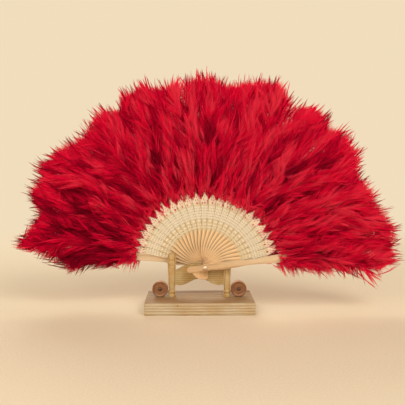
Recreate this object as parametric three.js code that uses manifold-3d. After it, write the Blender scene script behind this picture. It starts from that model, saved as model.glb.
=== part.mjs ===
// A feather fan standing open on its small wooden display stand.
// Lengths are in millimetres, +Z is up and the front faces -Y.
// The origin is at the middle of the base board's underside.
import * as THREE from 'three';
import { mergeVertices } from 'three/addons/utils/BufferGeometryUtils.js';
import Module from 'manifold-3d';

// Clearances
const clearance = 0.3; // between pieces that touch or slide on the real fan
const cutOverrun = 1; // how far a cutter passes the face that it opens

// Base board
const baseWidth = 170;
const baseDepth = 88;
const baseHeight = 19.5;
const baseBevel = 1.2;

// Turned posts
const postSpacing = 88; // between the two centre lines
const postHeight = 70.5;
const postRadius = 6.8;
const postSides = 14;
const footBeadShare = 0.84; // of postRadius
const postProfileShares = [
	// [share of postRadius, share of postHeight], from the foot to the dome
	[0.80, 0],
	[0.86, 0.025],
	[0.86, 0.06],
	[0.70, 0.078],
	[footBeadShare, 0.10],
	[footBeadShare, 0.135],
	[0.70, 0.155],
	[0.74, 0.20],
	[0.90, 0.60],
	[0.97, 0.705],
	[0.86, 0.722],
	[1.00, 0.742],
	[1.00, 0.80],
	[0.85, 0.83],
	[0.94, 0.85],
	[0.95, 0.91],
	[0.84, 0.965],
	[0.52, 0.99],
];

// Apron panel between the posts
const apronThickness = 4;
const apronEndHeight = 43; // above the board, where it meets the posts
const apronCrownHeight = 56; // above the board, at the middle of its top
const apronLobeHeight = 18.7; // above the board, at the two low lobes
const apronArchHeight = 29; // above the board, at the middle of its underside
const apronLobeShare = 0.84; // of the half width, from the middle to a lobe
const apronFootHeight = 19.5; // above the board, where the underside meets a post
const tenonDepth = 3; // how far the panel's ends enter the posts
const apronSteps = 12;

// Round wooden discs beside the posts, each with a centre pin
const discRadius = 12.6;
const discThickness = 10;
const discRimWidth = 2.4;
const discDishDepth = 0.9;
const discSides = 20;
const discPinRadius = 1.7;
const discPinHeadRadius = 2.8;
const discPinHeadHeight = 1.6;
const discPinSides = 10;

// Rivet and its washer
const pivotX = 8.5; // the fan sits a little to the right of the stand's middle
const pivotHeight = 49.3; // above the board
const shankRadius = 2;
const rivetHeadRadius = 3.4;
const rivetHeadHeight = 1.6;
const rivetTailRadius = 3;
const rivetTailHeight = 1.2;
const rivetSides = 12;
const washerRadius = 4.6;
const washerThickness = 0.8;

// The sticks fan out about the rivet
const stickCount = 25; // two guards and the pierced sticks between them
const firstAngleDeg = 7; // front guard, at the right
const lastAngleDeg = 173; // back guard, at the left
const frontStickCount = 13; // sticks that pass in front of the apron
const stickThickness = 0.9;
const guardThickness = 3;
const pivotHoleSides = 8;

// Outline of a pierced stick: radii from the rivet and widths there
const buttReach = 21.5;
const buttWidth = 10.8;
const gorgeBellyRadius = 34;
const gorgeBellyWidth = 10.8;
const gorgeRadius = 57;
const waistWidth = 6.6;
const laceStartRadius = 61;
const laceStartWidth = 8.6;
const laceRadius = 95;
const laceWidth = 12.2;
const laceTipRadius = 118;
const laceTipWidth = 3.2;
const ribRadius = 200;
const ribWidth = 2.6;
const buttSteps = 6;

// Outline of a guard: radii from the rivet and widths there
const guardButtReach = 28.5;
const guardButtWidth = 9.6;
const guardPivotWidth = 9;
const guardBellyRadius = 42;
const guardBellyWidth = 11.8;
const guardNeckRadius = 68;
const guardNeckWidth = 8.2;
const guardBladeRadius = 120;
const guardBladeWidth = 13.4;
const guardTipRadius = 196;
const guardTipWidth = 5;

// Piercing in each stick: radii from the rivet, lengths along the stick and widths across it
const smallHoleLength = 2.6;
const smallHoleWidth = 2;
const dotRadius = 74;
const dotLength = 3.6;
const dotWidth = 3;
const longHoleRadius = 85.5;
const longHoleLength = 12;
const longHoleWidth = 1.3;
const longHoleOffset = 2.2; // each side of the stick's centre line
const diamondRadius = 98.5;
const diamondLength = 6.4;
const diamondWidth = 3.4;
const smallHoleRadii = [63.5, 68.5, 106.5];

// Plumes: one on each stick. A vane is flat along its stick. Its clockwise edge stands back and the
// other one stands forward, so the plumes lap over each other and nest when the fan closes.
const plumeSwell = 15; // how far each edge stands out
const plumeSlopeWidth = 8; // between the flat middle and an edge strip
const plumeInnerRadius = 102;
const plumeTipRadius = 306;
const plumeHalfAngleDeg = 7.4;
const plumeDroopAngleDeg = 13.6; // how far an end plume hangs below its guard
const plumeRootShare = 0.62; // of the half angle, at the inner end
const plumeEdgeShares = [
	// [share of the way from the inner radius to the tip, share of the half angle]
	[0.12, 0.88],
	[0.18, 0.76],
	[0.34, 1.00],
	[0.40, 0.84],
	[0.56, 1.00],
	[0.62, 0.86],
	[0.76, 0.98],
	[0.80, 0.80],
	[0.92, 0.80],
	[0.91, 0.52],
	[0.975, 0.42],
	[0.955, 0.20],
];

// Colours and finishes
const finishes = {
	pine: { color: 0xd3b27a, roughness: 0.7, metalness: 0 },
	turnedWood: { color: 0xd9b06c, roughness: 0.6, metalness: 0 },
	apronWood: { color: 0xc3a77c, roughness: 0.65, metalness: 0 },
	darkWood: { color: 0x86604e, roughness: 0.6, metalness: 0 },
	pinWood: { color: 0x6a4636, roughness: 0.5, metalness: 0 },
	guardWood: { color: 0xe0b47a, roughness: 0.55, metalness: 0 },
	stickWood: { color: 0xead2a0, roughness: 0.6, metalness: 0 },
	rivetMetal: { color: 0xc9c3b8, roughness: 0.3, metalness: 1 },
	plumeRed: { color: 0xb80a28, roughness: 0.95, metalness: 0 },
};

// Places that follow from the sizes above
const postX = postSpacing / 2;
const pivotZ = baseHeight + pivotHeight;
const stickPitch = stickThickness + clearance;
const firstPlaneY = apronThickness / 2 + clearance + stickThickness / 2;
const frontGuardY = - guardPlaneY( frontStickCount );
const backGuardY = guardPlaneY( stickCount - frontStickCount );
const stackFrontY = frontGuardY - guardThickness / 2;
const stackBackY = backGuardY + guardThickness / 2;
const anglePitchDeg = ( lastAngleDeg - firstAngleDeg ) / ( stickCount - 1 );
const discX = postX + postRadius * footBeadShare + clearance + discRadius;
const discZ = baseHeight + clearance + discRadius;
const plumeFlatHalfWidth = guardBladeWidth / 2 + clearance; // a guard passes the slopes as well

// [radius, width] stations along each kind of stick, outwards from the rivet
const stickStations = [
	[ gorgeBellyRadius, gorgeBellyWidth ],
	[ gorgeRadius, waistWidth ],
	[ laceStartRadius, laceStartWidth ],
	[ laceRadius, laceWidth ],
	[ laceTipRadius, laceTipWidth ],
	[ ribRadius, ribWidth ],
];
const guardStations = [
	[ 0, guardPivotWidth ],
	[ guardBellyRadius, guardBellyWidth ],
	[ guardNeckRadius, guardNeckWidth ],
	[ guardBladeRadius, guardBladeWidth ],
	[ guardTipRadius, guardTipWidth ],
];

const wasm = await Module();
wasm.setup();

// Distance from the middle plane to a guard's plane, with the given number of sticks on its side
function guardPlaneY( sticksOnSide ) {

	const lastStickY = firstPlaneY + ( sticksOnSide - 2 ) * stickPitch;
	return lastStickY + stickThickness / 2 + clearance + guardThickness / 2;

}

// Radius of a polygon's corners where its sides are the given distance from the middle
function cornerRadius( sideDistance, sides ) {

	return sideDistance / Math.cos( Math.PI / sides );

}

function toSolid( geometry ) {

	const bare = geometry.clone();
	bare.deleteAttribute( 'normal' );
	bare.deleteAttribute( 'uv' );
	const merged = mergeVertices( bare );
	return new wasm.Manifold( new wasm.Mesh( {
		numProp: 3,
		vertProperties: new Float32Array( merged.attributes.position.array ),
		triVerts: new Uint32Array( merged.index.array ),
	} ) );

}

function toGeometry( solid ) {

	const mesh = solid.getMesh();
	const geometry = new THREE.BufferGeometry();
	geometry.setAttribute( 'position', new THREE.BufferAttribute( mesh.vertProperties, mesh.numProp ) );
	geometry.setIndex( new THREE.BufferAttribute( mesh.triVerts, 1 ) );
	return geometry;

}

function cut( geometry, cutter ) {

	return toGeometry( toSolid( geometry ).subtract( toSolid( cutter ) ) );

}

function namedMesh( name, geometry, finish ) {

	const mesh = new THREE.Mesh( geometry, new THREE.MeshStandardMaterial( finishes[ finish ] ) );
	mesh.name = name;
	return mesh;

}

// A flat plate that stands upright: the outline's x and y become X and Z, and it is centred on Y
function uprightPlate( shape, thickness ) {

	const geometry = new THREE.ExtrudeGeometry( shape, { depth: thickness, bevelEnabled: false } );
	geometry.translate( 0, 0, - thickness / 2 );
	geometry.rotateX( Math.PI / 2 );
	return geometry;

}

// A turned piece about the vertical axis, from [radius, height] pairs that start and end on the axis
function turned( profile, sides ) {

	const points = profile.map( ( [ radius, height ] ) => new THREE.Vector2( radius, height ) );
	const geometry = new THREE.LatheGeometry( points, sides );
	geometry.rotateX( Math.PI / 2 );
	return geometry;

}

// The same, about an axis that runs from front to back: heights count towards the back
function turnedAlongY( profile, sides ) {

	const points = profile.map( ( [ radius, depth ] ) => new THREE.Vector2( radius, depth ) );
	return new THREE.LatheGeometry( points, sides );

}

function baseBoard() {

	const halfWidth = baseWidth / 2 - baseBevel;
	const halfDepth = baseDepth / 2 - baseBevel;
	const shape = new THREE.Shape( [
		new THREE.Vector2( - halfWidth, - halfDepth ),
		new THREE.Vector2( halfWidth, - halfDepth ),
		new THREE.Vector2( halfWidth, halfDepth ),
		new THREE.Vector2( - halfWidth, halfDepth ),
	] );
	const geometry = new THREE.ExtrudeGeometry( shape, {
		depth: baseHeight - 2 * baseBevel,
		bevelThickness: baseBevel,
		bevelSize: baseBevel,
		bevelSegments: 1,
	} );
	geometry.translate( 0, 0, baseBevel );
	return geometry;

}

// A turned post with a mortise on its inner side for the apron's end
function post( side ) {

	const profile = postProfileShares.map(
		( [ radiusShare, heightShare ] ) => [ radiusShare * postRadius, heightShare * postHeight ] );
	const geometry = turned( [ [ 0, 0 ], ...profile, [ 0, postHeight ] ], postSides );
	const mortiseDepth = tenonDepth + clearance;
	const mortise = new THREE.BoxGeometry(
		mortiseDepth + cutOverrun,
		apronThickness + 2 * clearance,
		apronEndHeight - apronFootHeight + 2 * clearance );
	mortise.translate(
		- side * ( postRadius - mortiseDepth + ( mortiseDepth + cutOverrun ) / 2 ),
		0,
		( apronEndHeight + apronFootHeight ) / 2 );
	return cut( geometry, mortise );

}

// The panel's top rises in a low arch, and its underside drops to two lobes
function apronTop( share ) {

	return apronEndHeight + ( apronCrownHeight - apronEndHeight ) * Math.cos( share * Math.PI / 2 );

}

function apronUnderside( share ) {

	if ( share < apronLobeShare ) {

		const way = ( 1 - Math.cos( Math.PI * share / apronLobeShare ) ) / 2;
		return apronArchHeight + ( apronLobeHeight - apronArchHeight ) * way;

	}
	const way = ( share - apronLobeShare ) / ( 1 - apronLobeShare );
	return apronLobeHeight + ( apronFootHeight - apronLobeHeight ) * way;

}

// The slot in the panel's top that holds the rivet's shank, from its right side to its left
function rivetSlot( radius, neckHalfWidth ) {

	const lip = ( x ) => new THREE.Vector2( x, apronTop( Math.abs( x ) / neckHalfWidth ) );
	const points = [ lip( pivotX + radius ) ];
	for ( let i = 0; i <= rivetSides / 2; i ++ ) {

		const angle = Math.PI * 2 * i / rivetSides;
		points.push( new THREE.Vector2(
			pivotX + radius * Math.cos( angle ),
			pivotHeight - radius * Math.sin( angle ) ) );

	}
	points.push( lip( pivotX - radius ) );
	return points;

}

function apron() {

	const neckHalfWidth = postX - postRadius;
	const halfWidth = neckHalfWidth + tenonDepth;
	const slotRadius = cornerRadius( shankRadius + clearance, rivetSides );
	const right = [];
	const left = [];
	const under = [];
	for ( let i = 0; i <= apronSteps; i ++ ) {

		const x = neckHalfWidth * ( 1 - 2 * i / apronSteps );
		const share = Math.abs( x ) / neckHalfWidth;
		under.unshift( new THREE.Vector2( x, apronUnderside( share ) ) );
		if ( x > pivotX + slotRadius ) right.push( new THREE.Vector2( x, apronTop( share ) ) );
		if ( x < pivotX - slotRadius ) left.push( new THREE.Vector2( x, apronTop( share ) ) );

	}
	return uprightPlate( new THREE.Shape( [
		new THREE.Vector2( - halfWidth, apronFootHeight ),
		...under,
		new THREE.Vector2( halfWidth, apronFootHeight ),
		new THREE.Vector2( halfWidth, apronEndHeight ),
		...right,
		...rivetSlot( slotRadius, neckHalfWidth ),
		...left,
		new THREE.Vector2( - halfWidth, apronEndHeight ),
	] ), apronThickness );

}

// A disc with a raised rim on both faces and a bore for its pin
function disc() {

	const boreRadius = cornerRadius( discPinRadius + clearance, discSides );
	const dishRadius = discRadius - discRimWidth;
	const faceY = discThickness / 2;
	const dishY = faceY - discDishDepth;
	return turnedAlongY( [
		[ boreRadius, - dishY ],
		[ dishRadius, - dishY ],
		[ dishRadius + discDishDepth, - faceY ],
		[ discRadius, - faceY ],
		[ discRadius, faceY ],
		[ dishRadius + discDishDepth, faceY ],
		[ dishRadius, dishY ],
		[ boreRadius, dishY ],
		[ boreRadius, - dishY ],
	], discSides );

}

// A pin through the disc's bore, with a head over each dished face
function discPin() {

	const headY = discThickness / 2 - discDishDepth + clearance;
	const domeRadius = ( discPinRadius + discPinHeadRadius ) / 2;
	const topY = headY + discPinHeadHeight;
	const rimY = headY + discPinHeadHeight / 2;
	return turnedAlongY( [
		[ 0, - topY ],
		[ domeRadius, - topY ],
		[ discPinHeadRadius, - rimY ],
		[ discPinHeadRadius, - headY ],
		[ discPinRadius, - headY ],
		[ discPinRadius, headY ],
		[ discPinHeadRadius, headY ],
		[ discPinHeadRadius, rimY ],
		[ domeRadius, topY ],
		[ 0, topY ],
	], discPinSides );

}

function rivet() {

	const headY = stackFrontY - clearance;
	const washerBackY = stackBackY + clearance + washerThickness;
	const tailY = washerBackY + clearance;
	const domeRadius = ( shankRadius + rivetHeadRadius ) / 2;
	return turnedAlongY( [
		[ 0, headY - rivetHeadHeight ],
		[ domeRadius, headY - rivetHeadHeight ],
		[ rivetHeadRadius, headY - rivetHeadHeight / 2 ],
		[ rivetHeadRadius, headY ],
		[ shankRadius, headY ],
		[ shankRadius, tailY ],
		[ rivetTailRadius, tailY ],
		[ rivetTailRadius, tailY + rivetTailHeight / 2 ],
		[ shankRadius, tailY + rivetTailHeight ],
		[ 0, tailY + rivetTailHeight ],
	], rivetSides );

}

function rivetWasher() {

	const boreRadius = cornerRadius( shankRadius + clearance, rivetSides );
	const frontY = stackBackY + clearance;
	const backY = frontY + washerThickness;
	return turnedAlongY( [
		[ boreRadius, frontY ],
		[ washerRadius, frontY ],
		[ washerRadius, backY ],
		[ boreRadius, backY ],
		[ boreRadius, frontY ],
	], rivetSides );

}

// A long plate's outline: a round butt behind the rivet, then [radius, width] stations outwards
function bladeShape( reach, width, stations ) {

	const points = [];
	const buttCentre = - ( reach - width / 2 );
	for ( let i = 0; i <= buttSteps; i ++ ) {

		const angle = Math.PI / 2 + Math.PI * i / buttSteps;
		points.push( new THREE.Vector2(
			buttCentre + width / 2 * Math.cos( angle ),
			width / 2 * Math.sin( angle ) ) );

	}
	for ( const [ radius, across ] of stations ) points.push( new THREE.Vector2( radius, - across / 2 ) );
	for ( const [ radius, across ] of [ ...stations ].reverse() ) {

		points.push( new THREE.Vector2( radius, across / 2 ) );

	}
	const shape = new THREE.Shape( points );
	shape.holes.push( pivotHole() );
	return shape;

}

function pivotHole() {

	const radius = cornerRadius( shankRadius + clearance, pivotHoleSides );
	const points = [];
	for ( let i = 0; i < pivotHoleSides; i ++ ) {

		const angle = - 2 * Math.PI * i / pivotHoleSides;
		points.push( new THREE.Vector2( radius * Math.cos( angle ), radius * Math.sin( angle ) ) );

	}
	return new THREE.Path( points );

}

function diamondHole( radius, length, width ) {

	return new THREE.Path( [
		new THREE.Vector2( radius - length / 2, 0 ),
		new THREE.Vector2( radius, width / 2 ),
		new THREE.Vector2( radius + length / 2, 0 ),
		new THREE.Vector2( radius, - width / 2 ),
	] );

}

function longHole( offset ) {

	const low = longHoleRadius - longHoleLength / 2;
	const high = longHoleRadius + longHoleLength / 2;
	return new THREE.Path( [
		new THREE.Vector2( low, offset - longHoleWidth / 2 ),
		new THREE.Vector2( low, offset + longHoleWidth / 2 ),
		new THREE.Vector2( high, offset + longHoleWidth / 2 ),
		new THREE.Vector2( high, offset - longHoleWidth / 2 ),
	] );

}

function piercedStick() {

	const shape = bladeShape( buttReach, buttWidth, stickStations );
	for ( const radius of smallHoleRadii ) {

		shape.holes.push( diamondHole( radius, smallHoleLength, smallHoleWidth ) );

	}
	shape.holes.push( diamondHole( dotRadius, dotLength, dotWidth ) );
	shape.holes.push( diamondHole( diamondRadius, diamondLength, diamondWidth ) );
	shape.holes.push( longHole( longHoleOffset ) );
	shape.holes.push( longHole( - longHoleOffset ) );
	return uprightPlate( shape, stickThickness );

}

function guardStick() {

	return uprightPlate( bladeShape( guardButtReach, guardButtWidth, guardStations ), guardThickness );

}

// The stations past a radius, with the width at that radius first
function stationsBeyond( start, stations ) {

	const next = stations.findIndex( ( [ radius ] ) => radius > start );
	const [ lowRadius, lowWidth ] = stations[ next - 1 ];
	const [ highRadius, highWidth ] = stations[ next ];
	const way = ( start - lowRadius ) / ( highRadius - lowRadius );
	return [ [ start, lowWidth + ( highWidth - lowWidth ) * way ], ...stations.slice( next ) ];

}

// One side of a plume's tufted edge, from its inner end to its tip
function plumeEdge( halfAngleDeg, side ) {

	const halfAngle = THREE.MathUtils.degToRad( halfAngleDeg );
	const reach = plumeTipRadius - plumeInnerRadius;
	return plumeEdgeShares.map( ( [ radiusShare, angleShare ] ) => {

		const radius = plumeInnerRadius + radiusShare * reach;
		const angle = side * angleShare * halfAngle;
		return new THREE.Vector2( radius * Math.cos( angle ), radius * Math.sin( angle ) );

	} );

}

// The part of an upright plate that lies between two heights above the stick's centre line
function strip( geometry, low, high ) {

	const length = plumeTipRadius + 2 * cutOverrun;
	const depth = 2 * ( plumeSwell + guardThickness );
	const slab = new THREE.BoxGeometry( length, depth, high - low );
	slab.translate( length / 2, 0, ( high + low ) / 2 );
	return toSolid( geometry ).intersect( toSolid( slab ) );

}

// Folds a flat vane: each side slopes away from the middle plane, then runs on level with it
function folded( geometry ) {

	const low = plumeFlatHalfWidth;
	const high = plumeFlatHalfWidth + plumeSlopeWidth;
	const far = plumeTipRadius;
	let vane = strip( geometry, - low, low );
	for ( const side of [ - 1, 1 ] ) {

		const slope = strip( geometry, Math.min( side * low, side * high ), Math.max( side * low, side * high ) );
		const edge = strip( geometry, Math.min( side * high, side * far ), Math.max( side * high, side * far ) );
		vane = vane.add( slope.warp( ( point ) => {

			point[ 1 ] -= side * plumeSwell * ( Math.abs( point[ 2 ] ) - low ) / plumeSlopeWidth;

		} ) );
		vane = vane.add( edge.translate( 0, - side * plumeSwell, 0 ) );

	}
	return toGeometry( vane );

}

// A plume's vane, slotted from its inner end for the stick that carries it. The carrier is that
// stick's [radius, width] stations from the plume's inner radius to the stick's end.
function plume( upAngleDeg, downAngleDeg, carrier, thickness ) {

	const rootAngle = THREE.MathUtils.degToRad( plumeRootShare * plumeHalfAngleDeg );
	const rootHalfWidth = plumeInnerRadius * Math.sin( rootAngle );
	const slotEdge = carrier.map( ( [ radius, width ] ) => [ radius, width / 2 + clearance ] );
	slotEdge[ slotEdge.length - 1 ][ 0 ] += clearance;
	const points = [
		new THREE.Vector2( plumeInnerRadius, - rootHalfWidth ),
		...plumeEdge( downAngleDeg, - 1 ),
		new THREE.Vector2( plumeTipRadius, 0 ),
		...plumeEdge( upAngleDeg, 1 ).reverse(),
		new THREE.Vector2( plumeInnerRadius, rootHalfWidth ),
		...slotEdge.map( ( [ radius, half ] ) => new THREE.Vector2( radius, half ) ),
		...slotEdge.map( ( [ radius, half ] ) => new THREE.Vector2( radius, - half ) ).reverse(),
	];
	return folded( uprightPlate( new THREE.Shape( points ), thickness ) );

}

function stand() {

	const group = new THREE.Group();
	group.add( namedMesh( 'base_board', baseBoard(), 'pine' ) );
	const apronMesh = namedMesh( 'apron', apron(), 'apronWood' );
	apronMesh.position.z = baseHeight;
	group.add( apronMesh );
	for ( const [ name, side ] of [ [ 'left', - 1 ], [ 'right', 1 ] ] ) {

		const postMesh = namedMesh( `${ name }_post`, post( side ), 'turnedWood' );
		postMesh.position.set( side * postX, 0, baseHeight );
		const discMesh = namedMesh( `${ name }_disc`, disc(), 'darkWood' );
		discMesh.position.set( side * discX, 0, discZ );
		const pinMesh = namedMesh( `${ name }_disc_pin`, discPin(), 'pinWood' );
		pinMesh.position.set( side * discX, 0, discZ );
		group.add( postMesh, discMesh, pinMesh );

	}
	return group;

}

// How far a stick's plane lies behind the middle plane
function stickPlaneY( index ) {

	if ( index === 0 ) return frontGuardY;
	if ( index === stickCount - 1 ) return backGuardY;
	if ( index < frontStickCount ) return - firstPlaneY - ( frontStickCount - 1 - index ) * stickPitch;
	return firstPlaneY + ( index - frontStickCount ) * stickPitch;

}

// A stick with its plume, turned to its place in the open fan
function stickWithPlume( index ) {

	const isFront = index === 0;
	const isBack = index === stickCount - 1;
	const isGuard = isFront || isBack;
	const number = String( index ).padStart( 2, '0' );
	const group = new THREE.Group();
	group.position.y = stickPlaneY( index );
	group.rotation.y = - THREE.MathUtils.degToRad( firstAngleDeg + index * anglePitchDeg );
	const stickName = isFront ? 'front_guard' : isBack ? 'back_guard' : `stick_${ number }`;
	const stickMesh = isGuard
		? namedMesh( stickName, guardStick(), 'guardWood' )
		: namedMesh( stickName, piercedStick(), 'stickWood' );
	const vane = plume(
		isBack ? plumeDroopAngleDeg : plumeHalfAngleDeg,
		isFront ? plumeDroopAngleDeg : plumeHalfAngleDeg,
		stationsBeyond( plumeInnerRadius, isGuard ? guardStations : stickStations ),
		isGuard ? guardThickness : stickThickness );
	group.add( stickMesh, namedMesh( `plume_${ number }`, vane, 'plumeRed' ) );
	return group;

}

function fan() {

	const group = new THREE.Group();
	group.position.set( pivotX, 0, pivotZ );
	group.add( namedMesh( 'rivet', rivet(), 'rivetMetal' ) );
	group.add( namedMesh( 'rivet_washer', rivetWasher(), 'rivetMetal' ) );
	for ( let i = 0; i < stickCount; i ++ ) group.add( stickWithPlume( i ) );
	return group;

}

const featherFan = new THREE.Group();
featherFan.add( stand(), fan() );

export default featherFan;
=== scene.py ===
import math
import bmesh
import bpy
import numpy as np
from mathutils import Matrix, Vector


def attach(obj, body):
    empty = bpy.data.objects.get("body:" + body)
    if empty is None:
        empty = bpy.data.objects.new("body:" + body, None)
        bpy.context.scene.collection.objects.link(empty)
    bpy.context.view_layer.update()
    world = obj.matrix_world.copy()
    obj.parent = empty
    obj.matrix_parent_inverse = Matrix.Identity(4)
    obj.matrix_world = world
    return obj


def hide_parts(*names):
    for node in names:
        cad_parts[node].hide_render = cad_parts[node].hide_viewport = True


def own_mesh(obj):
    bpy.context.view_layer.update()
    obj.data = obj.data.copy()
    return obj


# An open feather fan on its small wooden stand. The front faces -Y and the origin is under the middle of
# the base board. The scene is in metres. The dictionaries hold millimetres and degrees, except the
# stage's, which is in metres too.

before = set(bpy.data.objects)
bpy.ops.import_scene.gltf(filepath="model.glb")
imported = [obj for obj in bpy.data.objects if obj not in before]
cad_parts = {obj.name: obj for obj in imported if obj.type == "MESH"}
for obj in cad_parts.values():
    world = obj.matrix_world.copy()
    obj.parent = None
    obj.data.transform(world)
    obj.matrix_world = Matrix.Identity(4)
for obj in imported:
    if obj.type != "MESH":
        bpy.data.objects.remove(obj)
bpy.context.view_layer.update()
mm = 0.001
print("frame loaded:", len(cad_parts), "nodes")

scene = bpy.context.scene

fan = {
    "pivot": (8.5, 0.0, 68.8),  # the rivet
    "stickCount": 25,
    "firstAngle": 7.0,  # front guard, right
    "lastAngle": 173.0,  # back guard, left
    "frontSticks": 13,  # how many pass in front of the apron
    "firstPlane": 2.75,  # the sticks nearest the apron
    "planePitch": 1.2,
    "frontGuardPlane": -18.2,
    "backGuardPlane": 17.0,
    "flex": 2.15,  # how far the sticks bend back together above the apron
    "flexRadii": (10.0, 46.0),
}
lastStick = fan["stickCount"] - 1
middleStick = fan["frontSticks"] - 1
anglePitch = (fan["lastAngle"] - fan["firstAngle"]) / lastStick


def stickAngle(index):
    return fan["firstAngle"] + index * anglePitch


def stickPlane(index):
    if index == 0:
        return fan["frontGuardPlane"]
    if index == lastStick:
        return fan["backGuardPlane"]
    if index <= middleStick:
        return -fan["firstPlane"] - (middleStick - index) * fan["planePitch"]
    return fan["firstPlane"] + (index - fan["frontSticks"]) * fan["planePitch"]


def stickFrame(index):
    # local x runs out along the stick, y across it and z towards the back
    angle = math.radians(stickAngle(index))
    out = Vector((math.cos(angle), 0, math.sin(angle)))
    across = Vector((-math.sin(angle), 0, math.cos(angle)))
    back = Vector((0, 1, 0))
    pivot = Vector(fan["pivot"]) + Vector((0, stickPlane(index), 0))
    rows = [[out[row], across[row], back[row], pivot[row] * mm] for row in range(3)]
    return Matrix(rows + [[0, 0, 0, 1]])


def flexAt(index, radius):
    # the sticks part round the apron and close up again above it
    low, high = fan["flexRadii"]
    way = np.clip((np.asarray(radius) - low) / (high - low), 0, 1)
    side = 1 if index <= middleStick else -1
    return side * fan["flex"] * way * way * (3 - 2 * way)


def stickBody(index):
    return "fan_core" if index == middleStick else f"blade_{index:02d}"


def linear(hexText):
    values = [int(hexText[i:i + 2], 16) / 255 for i in (1, 3, 5)]
    return tuple(v / 12.92 if v <= 0.04045 else ((v + 0.055) / 1.055) ** 2.4 for v in values) + (1.0,)


def addNode(tree, kind, settings=None, links=None):
    # settings go to a node's properties, its ramp's stops or, by name or number, its sockets, and a link
    # starts at a socket or at a node's first output
    made = tree.nodes.new("ShaderNode" + kind)
    for key, value in (settings or {}).items():
        if key == "stops":
            elements = made.color_ramp.elements
            while len(elements) < len(value):
                elements.new(0.5)
            for element, (place, colour) in zip(elements, value):
                element.position = place
                element.color = linear(colour) if isinstance(colour, str) else (colour, colour, colour, 1)
        elif isinstance(key, str) and hasattr(made, key):
            setattr(made, key, value)
        else:
            made.inputs[key].default_value = value
    for key, source in (links or {}).items():
        socket = source if isinstance(source, bpy.types.NodeSocket) else source.outputs[0]
        tree.links.new(socket, made.inputs[key])
    return made


def newMaterial(name, settings):
    material = bpy.data.materials.new(name)
    material.use_nodes = True
    tree = material.node_tree
    shader = tree.nodes["Principled BSDF"]
    for key, value in settings.items():
        shader.inputs[key].default_value = value
    return material, tree, shader


def addPiece(name, mesh):
    piece = bpy.data.objects.new(name, mesh)
    scene.collection.objects.link(piece)
    return piece


def settle(piece, material, body, slot, *nodes):
    piece.data.materials.clear()
    piece.data.materials.append(material)
    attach(piece, body)
    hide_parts(*nodes)


# Solid wood: growth rings round an axis, cut by the piece's own surface, with fibres along local X. Real
# fibres are too fine to show, so they are drawn as coarse as they need to be.

woodNoise = {
    # the factor along the grain (a small one draws the noise out), its detail and its roughness
    "warpSize": (0.25, 2.0, 0.5),
    "fibre": (0.05, 3.0, 0.6),
    "blotch": (1, 2.0, 0.5),
}


def woodMaterial(name, wood):
    material, tree, shader = newMaterial(name, {
        "Roughness": wood["roughness"],
        "IOR": 1.5,
        "Specular IOR Level": wood["gloss"],
    })
    place = addNode(tree, "Mapping", {
        "Location": [v * mm for v in wood["heart"]], "Rotation": [math.radians(a) for a in wood["turn"]],
    }, {"Vector": addNode(tree, "TexCoord").outputs["Object"]})
    noises = {}
    for part, (stretch, detail, roughness) in woodNoise.items():
        drawn = addNode(tree, "VectorMath", {"operation": "MULTIPLY", 1: (stretch, 1, 1)}, {0: place})
        noises[part] = addNode(tree, "TexNoise", {
            "Scale": 1 / (wood[part] * mm), "Detail": detail, "Roughness": roughness,
        }, {"Vector": drawn})
    bent = addNode(tree, "VectorMath", {"operation": "MULTIPLY_ADD", 1: [wood["warp"] * mm] * 3},
                   {0: noises["warpSize"].outputs["Color"], 2: place})
    rings = addNode(tree, "TexWave", {
        "wave_type": "RINGS", "rings_direction": "X", "wave_profile": "SAW",
        "Scale": math.pi / 10 / (wood["ring"] * mm),  # the texture draws a ring every pi / 10
        "Distortion": 0.6, "Detail": 1.0, "Detail Scale": 1.5,
    }, {"Vector": bent})
    colour = addNode(tree, "ValToRGB", {"stops": wood["rings"]}, {"Fac": rings.outputs["Fac"]}).outputs[0]
    for part in ("fibre", "blotch"):
        tone = addNode(tree, "ValToRGB", {"stops": [(0.3, wood[part + "Tone"]), (0.7, "#FFFFFF")]},
                       {"Fac": noises[part]})
        colour = addNode(tree, "Mix", {"data_type": "RGBA", "blend_type": "MULTIPLY", "Factor": 1.0},
                         {6: colour, 7: tone}).outputs[2]
    tree.links.new(colour, shader.inputs["Base Color"])
    bump = addNode(tree, "Bump", {"Strength": wood["bump"], "Distance": 0.15 * mm},
                   {"Height": noises["fibre"]})
    tree.links.new(bump.outputs["Normal"], shader.inputs["Normal"])
    return material, tree, shader, colour


# Base board

board = {
    "size": (170.0, 88.0, 19.5),
    "edge": 1.2,
    "edgeSteps": 4,
    "knot": (-34.0, -44.0, 15.6),  # a small dark knot in the front edge
    "knotSize": 1.3,
    "knotTone": "#7A5228",
    "topTone": "#DCC4A7",  # painted shade: the top is darker and a little browner than the edges
    "wood": {
        # planed pine: pale, with straight ochre rings that show as lines along the front edge
        "roughness": 0.62, "gloss": 0.35, "bump": 0.25,
        "heart": (0, -46, 118), "turn": (0, 0, 0),
        "warpSize": 60, "warp": 3.0, "ring": 3.6, "fibre": 0.7, "blotch": 45,
        "rings": [(0.0, "#DAD0BA"), (0.5, "#D0C4AA"), (0.82, "#BAA88C"), (1.0, "#A08C70")],
        "fibreTone": "#EADBC0", "blotchTone": "#F0DFC4",
    },
}


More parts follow.
